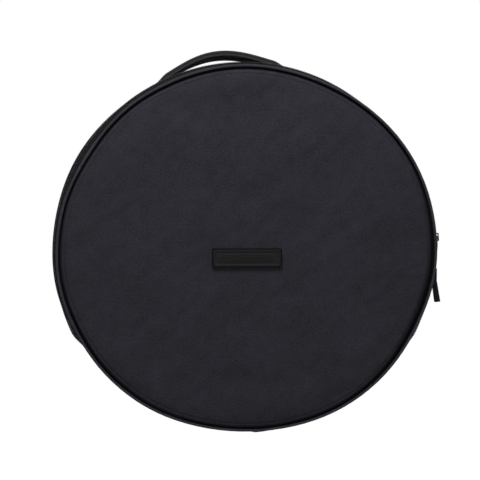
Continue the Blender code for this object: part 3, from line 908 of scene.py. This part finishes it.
class BAG_OT_walls(bpy.types.Operator):
    """Cloth of the body's side wall and of the lid's boxing strip"""

    bl_idname = "drum_bag.walls"
    bl_label = "Walls"

    def execute(self, context):
        near, far = ZIP_Y + WALL_EDGE, WALL_END_Y
        stations = spread(near, near + 0.009, 9) + spread(near + 0.012, far - 0.004, 22)
        stations += spread(far - 0.0025, WALL_TUCK_Y, 6)
        self.ring("side_wall_cloth", stations, wall_cloth, "bag_body", "side_wall")
        near, far = -WALL_TUCK_Y, ZIP_Y - WALL_EDGE
        stations = spread(near, far - 0.0095, 16) + spread(far - 0.0085, far, 9)
        self.ring("lid_boxing_cloth", stations, boxing_cloth, "lid", "lid_boxing", self.painted_shade)
        return {"FINISHED"}

    # Painted shade on the lid's strip: darkest beside the cord and gone 15 mm behind it
    def painted_shade(self, _angle, y, _radius):
        return 0.98 * (1 - smooth((y + WALL_END_Y) / 0.015))

    def ring(self, name, stations, surface, body, node, painted_shade=None):
        obj = turned_strip(name, [(SEAM_RADIUS, y) for y in stations])
        lay(obj, surface, painted_shade=painted_shade)
        thicken(obj, FABRIC, from_axis)
        lay_flat_map(obj)
        finished(obj, FINISHES["shell"], body, "shell_cloth", node)


def panel_radii():
    """Rings of a panel, close together at the seam."""
    wide = [0.0] + spread(0.003, PANEL_RIM - 0.0205, 66)
    near = spread(PANEL_RIM - 0.018, PANEL_RIM - 0.01, 5)
    return wide + near + spread(PANEL_RIM - 0.0088, PANEL_RIM, 12)


class BAG_OT_panels(bpy.types.Operator):
    """Cloth of the front and back panels, with their seams, dents and gathers"""

    bl_idname = "drum_bag.panels"
    bl_label = "Panels"

    def execute(self, context):
        for prefix, side, body in SIDES:
            obj = turned_disc(f"{prefix}_panel_cloth", panel_radii())
            lay(
                obj, lambda angle, _y, radius: on_panel(side, angle, radius, 0),
                painted_shade=self.painted_shade,
            )
            thicken(obj, FABRIC, lambda _place: Vector((0, side, 0)))
            straight_map(obj, across_and_up)
            finished(obj, FINISHES["shell"], body, "shell_cloth", f"{prefix}_panel")
        return {"FINISHED"}

    # Painted shade in the groove beside the cord of both panels: wider round the lower right,
    # lighter where the seam lies open
    def painted_shade(self, angle, _y, radius):
        away = PANEL_RIM - radius
        slack = exp(-(((angle - radians(105)) / radians(30)) ** 2))
        width = 0.0034 + 0.0042 * slack
        deep = 1 - smooth((away - 0.0004 - 0.0012 * slack) / width)
        return deep * (1 - stray(OPEN_SEAM, angle))


class BAG_OT_piping(bpy.types.Operator):
    """The cloth-covered cord in the front and back seams"""

    bl_idname = "drum_bag.piping"
    bl_label = "Piping"

    def execute(self, context):
        thickness = context.scene.bag_sizes.piping
        for prefix, side, body in SIDES:
            deselect()
            bpy.ops.mesh.primitive_circle_add(
                vertices=14, radius=thickness, location=(0, side * SEAM_Y, CORD_RADIUS),
                rotation=(0, radians(90), 0),
            )
            obj = named(f"{prefix}_piping_cord")
            edit(obj)
            spin_section(obj, lambda *point: self.place(side, *point), self.painted_shade)
            finished(obj, FINISHES["piping"], body, "piping_cloth", f"{prefix}_piping")
        return {"FINISHED"}

    # Painted shade on the cord: dark on its inner side against the panel, and a lighter painted
    # shade on its outer side
    def painted_shade(self, _angle, _y, radius):
        inward = (CORD_RADIUS - radius) / bpy.context.scene.bag_sizes.piping
        return smooth((inward - 0.8) / 0.2) + 0.2 * smooth((-inward - 0.6) / 0.4)

    def place(self, side, angle, y, radius):
        """A point of the cord, drawn in a little at each stitch and lapped at the joint."""
        arc = angle * SEAM_RADIUS
        uneven = 1 + 0.03 * sin(arc / 0.0011) + 0.05 * noise.noise(Vector((arc * 60, side, 2)))
        past = radians(178.5) - angle
        lap = 0.0011 * smooth(1 - past / radians(7)) if past > 0 else 0
        strays = stray(SEAM_STRAY, angle) if side < 0 else 0
        out = (radius - CORD_RADIUS) * uneven
        off = (y - side * SEAM_Y) * uneven
        return outline(angle, CORD_RADIUS + out + strays + lap, side * SEAM_Y + off)


class BAG_OT_padding(bpy.types.Operator):
    """Foam behind the cloth of the panels and the wall"""

    bl_idname = "drum_bag.padding"
    bl_label = "Padding"

    def execute(self, context):
        for prefix, side, body in SIDES:
            radii = [0.0] + spread(0.01, PANEL_RADIUS - 0.011, 22) + [PANEL_RADIUS - 0.008]
            obj = turned_disc(f"{prefix}_foam_pad", radii, 144)
            lay(obj, lambda angle, _y, radius: self.pad(side, angle, radius))
            thicken(obj, FOAM, lambda _place: Vector((0, side, 0)))
            finished(obj, FINISHES["padding"], body, "padding", f"{prefix}_foam")
        first = ZIP_Y + TAPE_EDGE + GAP + LINING + GAP
        line = [(SEAM_RADIUS, y) for y in spread(first, LINING_END_Y, 18)]
        obj = turned_strip("wall_foam_pad", line)
        face_away(obj, lambda place: Vector((place.x, 0, place.z)))
        flat = [(turn_of(vertex.co), vertex.co.y) for vertex in obj.data.vertices]
        lay(obj, lambda angle, y, _r: on_bag(angle, y, FABRIC + GAP))
        thicken(obj, FOAM, from_axis)
        for vertex, (angle, y) in zip(obj.data.vertices, flat):
            vertex.co = on_bag(angle, y, FABRIC + GAP - wall_lift(angle, y))
        finished(obj, FINISHES["padding"], "bag_body", "padding", "wall_foam")
        return {"FINISHED"}

    def pad(self, side, angle, radius):
        share = radius / PANEL_RADIUS
        point = outline(angle, radius, 0)
        point.y = side * (SEAM_Y + pillow(share) - FABRIC - GAP - 0.0016)
        return point


class BAG_OT_linings(bpy.types.Operator):
    """Thin cloth inside the panels and the wall, turned out over the wall's front edge"""

    bl_idname = "drum_bag.linings"
    bl_label = "Linings"

    def execute(self, context):
        for prefix, side, body in SIDES:
            radii = [0.0] + spread(0.006, PANEL_RADIUS - 0.003, 40)
            obj = turned_disc(f"{prefix}_lining_cloth", radii, 216)
            lay(obj, lambda angle, _y, radius: self.inside(side, angle, radius))
            thicken(obj, LINING, lambda _place: Vector((0, side, 0)))
            straight_map(obj, across_and_up)
            finished(obj, FINISHES["lining"], body, "lining_cloth", f"{prefix}_lining")
        self.wall()
        return {"FINISHED"}

    def inside(self, side, angle, radius):
        share = radius / PANEL_RADIUS
        point = outline(angle, radius, 0)
        place = Vector((point.x * 22, side * 5, point.z * 22))
        slack = 0.0007 * noise.noise(place) * smooth((PANEL_RADIUS - radius) / 0.03)
        out = PANEL_CROWN * (1 - share**CROWN_POWER) - LINING_DEPTH - 0.0018
        point.y = side * (SEAM_Y + out + slack)
        return point

    def wall(self):
        """Made as one line: lip, front edge, and the long run to the back seam."""
        lip = ZIP_Y + TAPE_EDGE + GAP
        depths = spread(FABRIC + GAP + 0.0002, LINING_DEPTH, 5)
        line = [(depth, lip) for depth in depths[:-1]]
        line += [(LINING_DEPTH, y) for y in spread(lip + 0.0003, LINING_END_Y, 30)]
        turned = [(SEAM_RADIUS - depth, y) for depth, y in line]
        obj = turned_strip("wall_lining_cloth", turned)
        lay(obj, self.wall_place)
        thicken(obj, LINING, lambda place: from_axis(place) + Vector((0, -0.05, 0)))
        lay_flat_map(obj)
        finished(obj, FINISHES["lining"], "bag_body", "lining_cloth", "wall_lining")

    def wall_place(self, angle, y, radius):
        depth = SEAM_RADIUS - radius
        lip = ZIP_Y + TAPE_EDGE
        slack = wall_wrinkle(angle + 1, y)
        slack *= smooth((y - lip) / 0.02) * smooth((LINING_END_Y - y) / 0.02)
        return on_bag(angle, y, depth + 0.0004 + 0.6 * slack)


class BAG_OT_bindings(bpy.types.Operator):
    """Ribbed tape folded over the raw edges of the front and back seams, inside"""

    bl_idname = "drum_bag.bindings"
    bl_label = "Seam bindings"

    def execute(self, context):
        for prefix, side, body in SIDES:
            deselect()
            inner, outer = PANEL_RADIUS - 0.008, cloth_radius(0, WALL_END_Y) - FABRIC - 0.0028
            middle_y = side * (BINDING_Y - BINDING / 2)
            bpy.ops.mesh.primitive_cube_add(
                size=1, location=(0, middle_y, (inner + outer) / 2),
                scale=(0.001, BINDING, outer - inner),
            )
            obj = named(f"{prefix}_binding_tape")
            edit(obj)
            pick(obj, lambda place: place.x > 0)
            bpy.ops.mesh.delete(type="VERT")
            bpy.ops.mesh.select_all(action="SELECT")
            bpy.ops.mesh.bevel(offset=0.0006, segments=3, affect="VERTICES")
            bpy.ops.mesh.delete(type="ONLY_FACE")
            bpy.ops.mesh.select_all(action="SELECT")
            spin_section(obj, lambda *point: self.place(side, *point))
            finished(obj, FINISHES["binding"], body, "binding_tape", f"{prefix}_seam_binding")
        return {"FINISHED"}

    def place(self, side, angle, y, radius):
        wave = 0.0003 * noise.noise(Vector((sin(angle) * 20, cos(angle) * 20, side)))
        if radius > PANEL_RADIUS:
            wave = 0
        return on_bag(angle, y - side * 0.0001, cloth_radius(angle, y) - radius - wave)


def sewn_row(name, length, place, body, slot, finish="thread"):
    """A row of stitches, one of them repeated along X and the row laid by place(x, y, z)."""
    sizes = bpy.context.scene.bag_sizes
    count = max(round(length / sizes.stitch_pitch), 1)
    pitch = length / count
    deselect()
    bpy.ops.mesh.primitive_uv_sphere_add(
        segments=6, ring_count=5, radius=1, location=(pitch / 2, 0, 0),
        rotation=(0, radians(90), 0), scale=(sizes.thread, sizes.thread, pitch * 0.43),
    )
    obj = named(name)
    repeat(obj, count, (pitch, 0, 0))
    straight_map(obj, along_and_round)
    for vertex in obj.data.vertices:
        vertex.co = place(*vertex.co)
    obj.data.update()
    return finished(obj, FINISHES[finish], body, slot)


def sewn_path(name, corners, put, body, slot):
    """A row of stitches on a path of straight runs, laid by put(point of the path, height)."""
    runs = list(zip(corners, corners[1:]))
    lengths = [hypot(last[0] - first[0], last[1] - first[1]) for first, last in runs]

    def place(along, across, up):
        run = 0
        while along > lengths[run] and run < len(runs) - 1:
            along -= lengths[run]
            run += 1
        first, last = Vector(runs[run][0]), Vector(runs[run][1])
        way = (last - first).normalized()
        return put(first + way * along + Vector((-way.y, way.x)) * across, up)

    return sewn_row(name, sum(lengths), place, body, slot)


class BAG_OT_stitching(bpy.types.Operator):
    """Rows of stitches along the hems and the seams"""

    bl_idname = "drum_bag.stitching"
    bl_label = "Stitching"

    def execute(self, context):
        round_bag = tau * SEAM_RADIUS
        at_hem = WALL_EDGE + HEM_STITCHES
        rows = [
            ("wall_hem_stitches", wall_cloth, ZIP_Y + at_hem, "bag_body", "hem_thread"),
            ("boxing_hem_stitches", boxing_cloth, ZIP_Y - at_hem, "lid", "thread"),
        ]
        for name, cloth, y, body, finish in rows:
            sewn_row(name, round_bag, self.on_cloth(cloth, y), body, "shell_cloth", finish)
        for prefix, side, body in SIDES:
            name = f"{prefix}_seam_stitches"
            sewn_row(name, round_bag, self.beside_cord(side), body, "shell_cloth")
        return {"FINISHED"}

    def on_cloth(self, cloth, y):
        def place(along, across, up):
            point = cloth(along / SEAM_RADIUS, y + across, 0)
            return point + from_axis(point).normalized() * (up + 0.0001)
        return place

    def beside_cord(self, side):
        radius = PANEL_RIM - SEWN_AT
        return lambda along, across, up: on_panel(side, along / SEAM_RADIUS, radius + across, -up)


class BAG_OT_zip_tapes(bpy.types.Operator):
    """Woven tapes that the zip's coils are sewn to"""

    bl_idname = "drum_bag.zip_tapes"
    bl_label = "Zip tapes"

    def execute(self, context):
        for prefix, side, body in ZIP_HALVES:
            near = [0.0007, 0.0024, 0.0042, 0.0052, 0.0064, 0.0076, 0.0088]
            across = near + [WALL_EDGE, 0.0125, TAPE_EDGE]
            line = [(ZIP_RADIUS, y) for y in sorted(ZIP_Y + side * at for at in across)]
            obj = turned_strip(f"zip_tape_cloth_{prefix}", line, -ZIP_END, ZIP_END)
            lay(obj, lambda angle, y, _radius: on_zip(angle, y, 0), -ZIP_END)
            thicken(obj, 0.0008, from_axis)
            lay_flat_map(obj)
            finished(obj, FINISHES["tape"], body, "zip_tape", f"zip_tape_{prefix}")
        return {"FINISHED"}


class BAG_OT_zip_coils(bpy.types.Operator):
    """The two rows of the zip, each one long wound filament"""

    bl_idname = "drum_bag.zip_coils"
    bl_label = "Zip coils"

    def execute(self, context):
        sizes = context.scene.bag_sizes
        length = 2 * (ZIP_END - radians(1.4)) * ZIP_RADIUS
        turns = int(length / sizes.coil_pitch)
        for prefix, side, body in ZIP_HALVES:
            deselect()
            bpy.ops.mesh.primitive_circle_add(
                vertices=5, radius=1, location=(0, 0, 1), rotation=(0, radians(90), 0)
            )
            obj = named(f"zip_coil_row_{prefix}")
            apply_modifier(
                obj, "SCREW", axis="X", angle=tau, screw_offset=sizes.coil_pitch,
                iterations=turns, steps=9, render_steps=9, use_normal_calculate=True,
            )
            edit(obj)
            merge_points()
            bpy.ops.mesh.fill_holes(sides=5)
            bpy.ops.mesh.normals_make_consistent(inside=False)
            object_mode()
            shift = sizes.coil_pitch / 2 if side > 0 else 0
            self.wind(obj, side, shift - length / 2, sizes.coil_wire)
            finished(obj, FINISHES["coil"], body, "zip_coil", f"zip_coil_{prefix}")
        return {"FINISHED"}

    def wind(self, obj, side, start, wire):
        """Flattens the winding to an oval and lays it along the zip, heads to the middle."""
        half_width, half_height = COIL_HALF_WIDTH - wire, COIL_HALF_HEIGHT - wire
        for vertex in obj.data.vertices:
            x, y, z = vertex.co
            turn = atan2(y, z)
            off = (hypot(y, z) - 1) / COIL_CLOSING * wire
            across = (half_width + off) * copysign(abs(cos(turn)) ** 0.5, cos(turn))
            up = (half_height + off) * copysign(abs(sin(turn)) ** 0.5, sin(turn))
            across = across * (1 + 0.02 * max(-cos(turn), 0)) + COIL_MIDDLE
            angle = (start + x) / ZIP_RADIUS % tau
            vertex.co = on_zip(angle, ZIP_Y + side * across, -COIL_LIFT - up)
        obj.data.update()


class BAG_OT_zip_hardware(bpy.types.Operator):
    """Slider, stops and pull: the CAD shapes with their edges rounded"""

    bl_idname = "drum_bag.zip_hardware"
    bl_label = "Zip hardware"

    def execute(self, context):
        pieces = [
            ("zip_slider", "zip_slider_cast", "slider", 0.00035, "metal", "dark_metal"),
            ("zip_stop_left", "zip_stop_left_clamp", "bag_body", 0.0003, "metal", "dark_metal"),
            ("zip_stop_right", "zip_stop_right_clamp", "bag_body", 0.0003, "metal", "dark_metal"),
            ("pull_tab", "pull_tab_stamped", "pull", 0.0003, "metal", "dark_metal"),
            ("pull_grip", "pull_grip_moulded", "pull", 0.0002, "rubber", "soft_rubber"),
        ]
        for node, name, body, rounding, finish, slot in pieces:
            obj = self.rounded_copy(node, name, rounding)
            finished(obj, FINISHES[finish], body, slot, node)
        self.rolled_eye()
        return {"FINISHED"}

    def rolled_eye(self):
        """The end of the tab, rolled round under the slider's bridge."""
        deselect()
        bpy.ops.mesh.primitive_cylinder_add(
            vertices=32, radius=0.0013, depth=0.0034, location=PULL_PIVOT,
            rotation=(radians(90), 0, 0),
        )
        obj = named("pull_eye_rolled")
        edit(obj)
        pick_faces(obj, lambda face: abs(face.normal.y) > 0.9)
        bpy.ops.mesh.inset(thickness=0.0004, depth=0)
        bpy.ops.mesh.inset(thickness=0.0002, depth=-0.0003)
        object_mode()
        round_edges(obj, 0.00012, 2, 40)
        finished(obj, FINISHES["metal"], "pull", "dark_metal")

    def rounded_copy(self, node, name, rounding):
        """A copy of a CAD solid with its flat faces joined and its edges rounded."""
        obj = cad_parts[node].copy()
        obj.data = obj.data.copy()
        obj.parent = None
        obj.name = name
        for key in list(obj.keys()):
            del obj[key]
        bpy.context.scene.collection.objects.link(obj)
        edit(obj)
        merge_points(0.000005)
        bpy.ops.mesh.dissolve_limited(angle_limit=radians(1))
        object_mode()
        round_edges(obj, rounding, 3, 35)
        return obj


class BAG_OT_hinge_cloth(bpy.types.Operator):
    """The strip under the bag that lid and body fold on"""

    bl_idname = "drum_bag.hinge_cloth"
    bl_label = "Hinge cloth"

    def execute(self, context):
        stations = spread(ZIP_Y - TAPE_EDGE, ZIP_Y + TAPE_EDGE, 33)
        line = [(SEAM_RADIUS, y) for y in stations]
        obj = turned_strip("hinge_strip_cloth", line, ZIP_END, tau - ZIP_END, 72)
        lay(obj, self.place, ZIP_END - 0.01)
        thicken(obj, FABRIC, from_axis)
        lay_flat_map(obj)
        nodes = "hinge_cloth_body", "hinge_cloth_lid"
        finished(obj, FINISHES["shell"], None, "shell_cloth", *nodes)
        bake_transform(obj)
        return {"FINISHED"}

    def place(self, angle, y, _radius):
        ridge = 0.0006 * cos((y - ZIP_Y) / 0.002) * exp(-((y - ZIP_Y) / 0.006) ** 2)
        return on_bag(angle, y, FABRIC + GAP - ridge * 0.5)


class BAG_OT_handle(bpy.types.Operator):
    """Two plies of webbing, sewn down flat at both ends with a crossed box of stitches"""

    bl_idname = "drum_bag.handle"
    bl_label = "Handle"

    def execute(self, context):
        end = (HANDLE_END_LENGTH + GAP) / HANDLE_BASE
        left = HANDLE_ANGLE - HANDLE_HALF_SPAN - end
        right = HANDLE_ANGLE + HANDLE_HALF_SPAN + end
        outer = "handle_outer_ply", "handle_end_left", "handle_end_right"
        plies = [
            ("handle_outer_web", -0.0002, outer),
            ("handle_inner_web", WEB_THICKNESS, ("handle_inner_ply",)),
        ]
        line = [(HANDLE_BASE, y) for y in spread(-HANDLE_HALF_WIDTH, HANDLE_HALF_WIDTH, 41)]
        for name, depth, nodes in plies:
            obj = turned_strip(name, line, left, right, 120)
            lay(obj, lambda angle, y, _radius: self.web(angle, y, depth), left - 0.01)
            thicken(obj, WEB_THICKNESS, from_axis)
            round_edges(obj, 0.0006, 2, 60)
            lay_flat_map(obj)
            self.dress(obj, nodes)
        for name, centre in (("left", left + end / 2), ("right", right - end / 2)):
            self.crossed_box(name, centre)
        return {"FINISHED"}

    def web(self, angle, y, depth):
        """Webbing with shallow ribs along its length."""
        rib = 0.00012 * cos(y * tau / 0.0036)
        return on_handle(angle, y, depth - rib if depth < 0 else depth)

    def dress(self, obj, nodes):
        """Gives the webbing its finish, hides the CAD plies it stands for and fixes its place in
        its mesh.
        """
        finished(obj, FINISHES["webbing"], None, "webbing", *nodes)
        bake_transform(obj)

    def crossed_box(self, name, centre):
        """A box of stitches with a cross in it."""
        long, wide = 0.0125, 0.02
        corners = [
            (-long, -wide), (long, -wide), (long, wide), (-long, wide), (-long, -wide),
            (long, wide), (long, -wide), (-long, wide),
        ]

        def put(flat, up):
            return on_handle(centre + flat.x / HANDLE_BASE, flat.y, -0.00015 - up)

        obj = sewn_path(f"handle_stitches_{name}", corners, put, None, "webbing")
        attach(obj, "bag_body")


class BAG_OT_patch(bpy.types.Operator):
    """The moulded patch on the front: a raised rim, plain ribs and a row of stitches"""

    bl_idname = "drum_bag.patch"
    bl_label = "Patch"

    def execute(self, context):
        low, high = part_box("front_patch")
        middle = (low + high) / 2
        size = high - low
        deselect()
        bpy.ops.mesh.primitive_cube_add(size=1, location=middle, scale=size)
        obj = named("front_patch_moulded")
        edit(obj)
        bpy.ops.mesh.select_mode(type="EDGE")
        object_mode()
        for edge in obj.data.edges:
            first, last = (obj.data.vertices[at].co for at in edge.vertices)
            edge.select = abs(first.y - last.y) > 0.001
        bpy.ops.object.mode_set(mode="EDIT")
        bpy.ops.mesh.bevel(offset=0.0022, segments=5, affect="EDGES")
        pick_faces(obj, lambda face: abs(face.center.y - low.y) < 0.00001)
        bpy.ops.mesh.inset(thickness=0.0009, depth=0)
        bpy.ops.mesh.inset(thickness=0.0004, depth=-0.0005)
        bpy.ops.mesh.inset(thickness=0.0022, depth=0)
        bpy.ops.mesh.inset(thickness=0.0003, depth=0.0003)
        object_mode()
        round_edges(obj, 0.00015, 2, 30)
        finished(obj, FINISHES["rubber"], "lid", "soft_rubber", "front_patch")
        self.ribs(middle, low.y + 0.0002)
        self.border(middle, size, low.y + 0.00045)
        return {"FINISHED"}

    def ribs(self, middle, front):
        """Plain moulded ribs across the field of the patch."""
        deselect()
        bpy.ops.mesh.primitive_cube_add(
            size=1, location=(middle.x, front + 0.00005, middle.z - 0.0036),
            scale=(0.052, 0.0008, 0.0008),
        )
        obj = named("front_patch_ribs")
        repeat(obj, 5, (0, 0, 0.0018))
        round_edges(obj, 0.0003, 3, 30)
        finished(obj, FINISHES["rubber"], "lid", "soft_rubber")

    def border(self, middle, size, front):
        """Stitches that hold the patch, in the sunk line inside its edge."""
        wide, high = size.x / 2 - 0.0026, size.z / 2 - 0.0026
        corners = [(-wide, -high), (wide, -high), (wide, high), (-wide, high), (-wide, -high)]

        def put(flat, up):
            return Vector((middle.x + flat.x, front - up, middle.z + flat.y))

        sewn_path("front_patch_stitches", corners, put, "lid", "soft_rubber")


class BAG_OT_studio(bpy.types.Operator):
    """Pale floor and backdrop, soft light and the camera"""

    bl_idname = "drum_bag.studio"
    bl_label = "Studio"

    def execute(self, context):
        deselect()
        bpy.ops.mesh.primitive_plane_add(size=14, location=(0, 0, -0.0004))
        floor_piece = named("studio_floor")
        floor_piece.data.materials.append(self.paper())
        self.world(context)
        studio = context.scene.studio
        self.lamp("key_light", (-0.13, -0.65, 1.15), 0.5, studio.key)
        self.lamp("front_light", (0.4, -2.7, 0.6), 0.9, studio.fill)
        self.lamp("back_light", (0.3, 2.0, 1.6), 1.6, studio.back)
        self.camera(context)
        context.scene.view_settings.view_transform = "Standard"
        return {"FINISHED"}

    def paper(self):
        """White paper that keeps a faint shadow but reads as white to the camera."""
        material = bpy.data.materials.new("matt_white_paper")
        material.use_nodes = True
        tree = material.node_tree
        tree.nodes.clear()
        paper = add(tree, "ShaderNodeBsdfDiffuse", {"Color": linear("#B4B4B4") + [1]})
        white = add(tree, "ShaderNodeEmission", {"Color": (1, 1, 1, 1), "Strength": 1.055})
        share = calc(tree, "MULTIPLY", self.seen_ray(tree), 0.95)
        self.mixed(tree, share, paper, white, "ShaderNodeOutputMaterial")
        return material

    def seen_ray(self, tree):
        """1 for what the camera sees, also in a gloss or through something clear."""
        rays = add(tree, "ShaderNodeLightPath").outputs
        seen = calc(tree, "MAXIMUM", rays["Is Camera Ray"], rays["Is Glossy Ray"])
        return calc(tree, "MAXIMUM", seen, rays["Is Transmission Ray"])

    def mixed(self, tree, share, first, second, output):
        links = {0: share, 1: first.outputs[0], 2: second.outputs[0]}
        both = add(tree, "ShaderNodeMixShader", links)
        add(tree, output, {"Surface": both.outputs[0]})

    def world(self, context):
        """Soft light from all sides, and white where the camera looks past the floor."""
        world = bpy.data.worlds.new("white_studio")
        context.scene.world = world
        world.use_nodes = True
        tree = world.node_tree
        tree.nodes.clear()
        light, white = (
            add(tree, "ShaderNodeBackground", {"Color": (1, 1, 1, 1), "Strength": strength})
            for strength in (context.scene.studio.ambient, 1)
        )
        self.mixed(tree, self.seen_ray(tree), light, white, "ShaderNodeOutputWorld")

    def lamp(self, name, place, size, power):
        """A square soft light that is turned to the bag."""
        data = bpy.data.lights.new(name, "AREA")
        data.size = size
        data.energy = power
        lamp = bpy.data.objects.new(name, data)
        bpy.context.scene.collection.objects.link(lamp)
        lamp.location = place
        aim = Vector((0, 0, 0.2)) - Vector(place)
        lamp.rotation_euler = aim.to_track_quat("-Z", "Y").to_euler()

    def camera(self, context):
        """A long lens a little to the left of the bag and a little above its middle."""
        data = bpy.data.cameras.new("camera")
        data.sensor_width = 36
        data.lens = CAMERA_LENS
        camera = bpy.data.objects.new("camera", data)
        context.scene.collection.objects.link(camera)
        camera.location = CAMERA_PLACE
        aim = Vector(CAMERA_AIM) - camera.location
        camera.rotation_euler = aim.to_track_quat("-Z", "Y").to_euler()
        context.scene.camera = camera


OPERATORS = (
    BAG_OT_walls, BAG_OT_panels, BAG_OT_piping, BAG_OT_padding, BAG_OT_linings,
    BAG_OT_bindings, BAG_OT_stitching, BAG_OT_zip_tapes, BAG_OT_zip_coils,
    BAG_OT_zip_hardware, BAG_OT_hinge_cloth, BAG_OT_handle, BAG_OT_patch, BAG_OT_studio,
)


class BAG_PT_panel(bpy.types.Panel):
    """Lists the pieces of the bag in the order in which they are made"""

    bl_label = "Drum Bag"
    bl_idname = "BAG_PT_panel"
    bl_space_type = "VIEW_3D"
    bl_region_type = "UI"
    bl_category = "Drum Bag"

    def draw(self, context):
        for operator in OPERATORS:
            self.layout.operator(operator.bl_idname)


SETTINGS = {"bag_sizes": BagSizes, "bag_colours": BagColours, "studio": StudioSettings}


def register():
    for group in SETTINGS.values():
        bpy.utils.register_class(group)
    for name, group in SETTINGS.items():
        setattr(bpy.types.Scene, name, PointerProperty(type=group))
    for operator in OPERATORS:
        bpy.utils.register_class(operator)
    bpy.utils.register_class(BAG_PT_panel)


def unregister():
    bpy.utils.unregister_class(BAG_PT_panel)
    for operator in reversed(OPERATORS):
        bpy.utils.unregister_class(operator)
    for name, group in reversed(SETTINGS.items()):
        delattr(bpy.types.Scene, name)
        bpy.utils.unregister_class(group)


def main():
    register()
    FINISHES.update(make_materials())
    for operator in OPERATORS:
        group, name = operator.bl_idname.split(".")
        getattr(getattr(bpy.ops, group), name)()


if __name__ == "__main__":
    main()
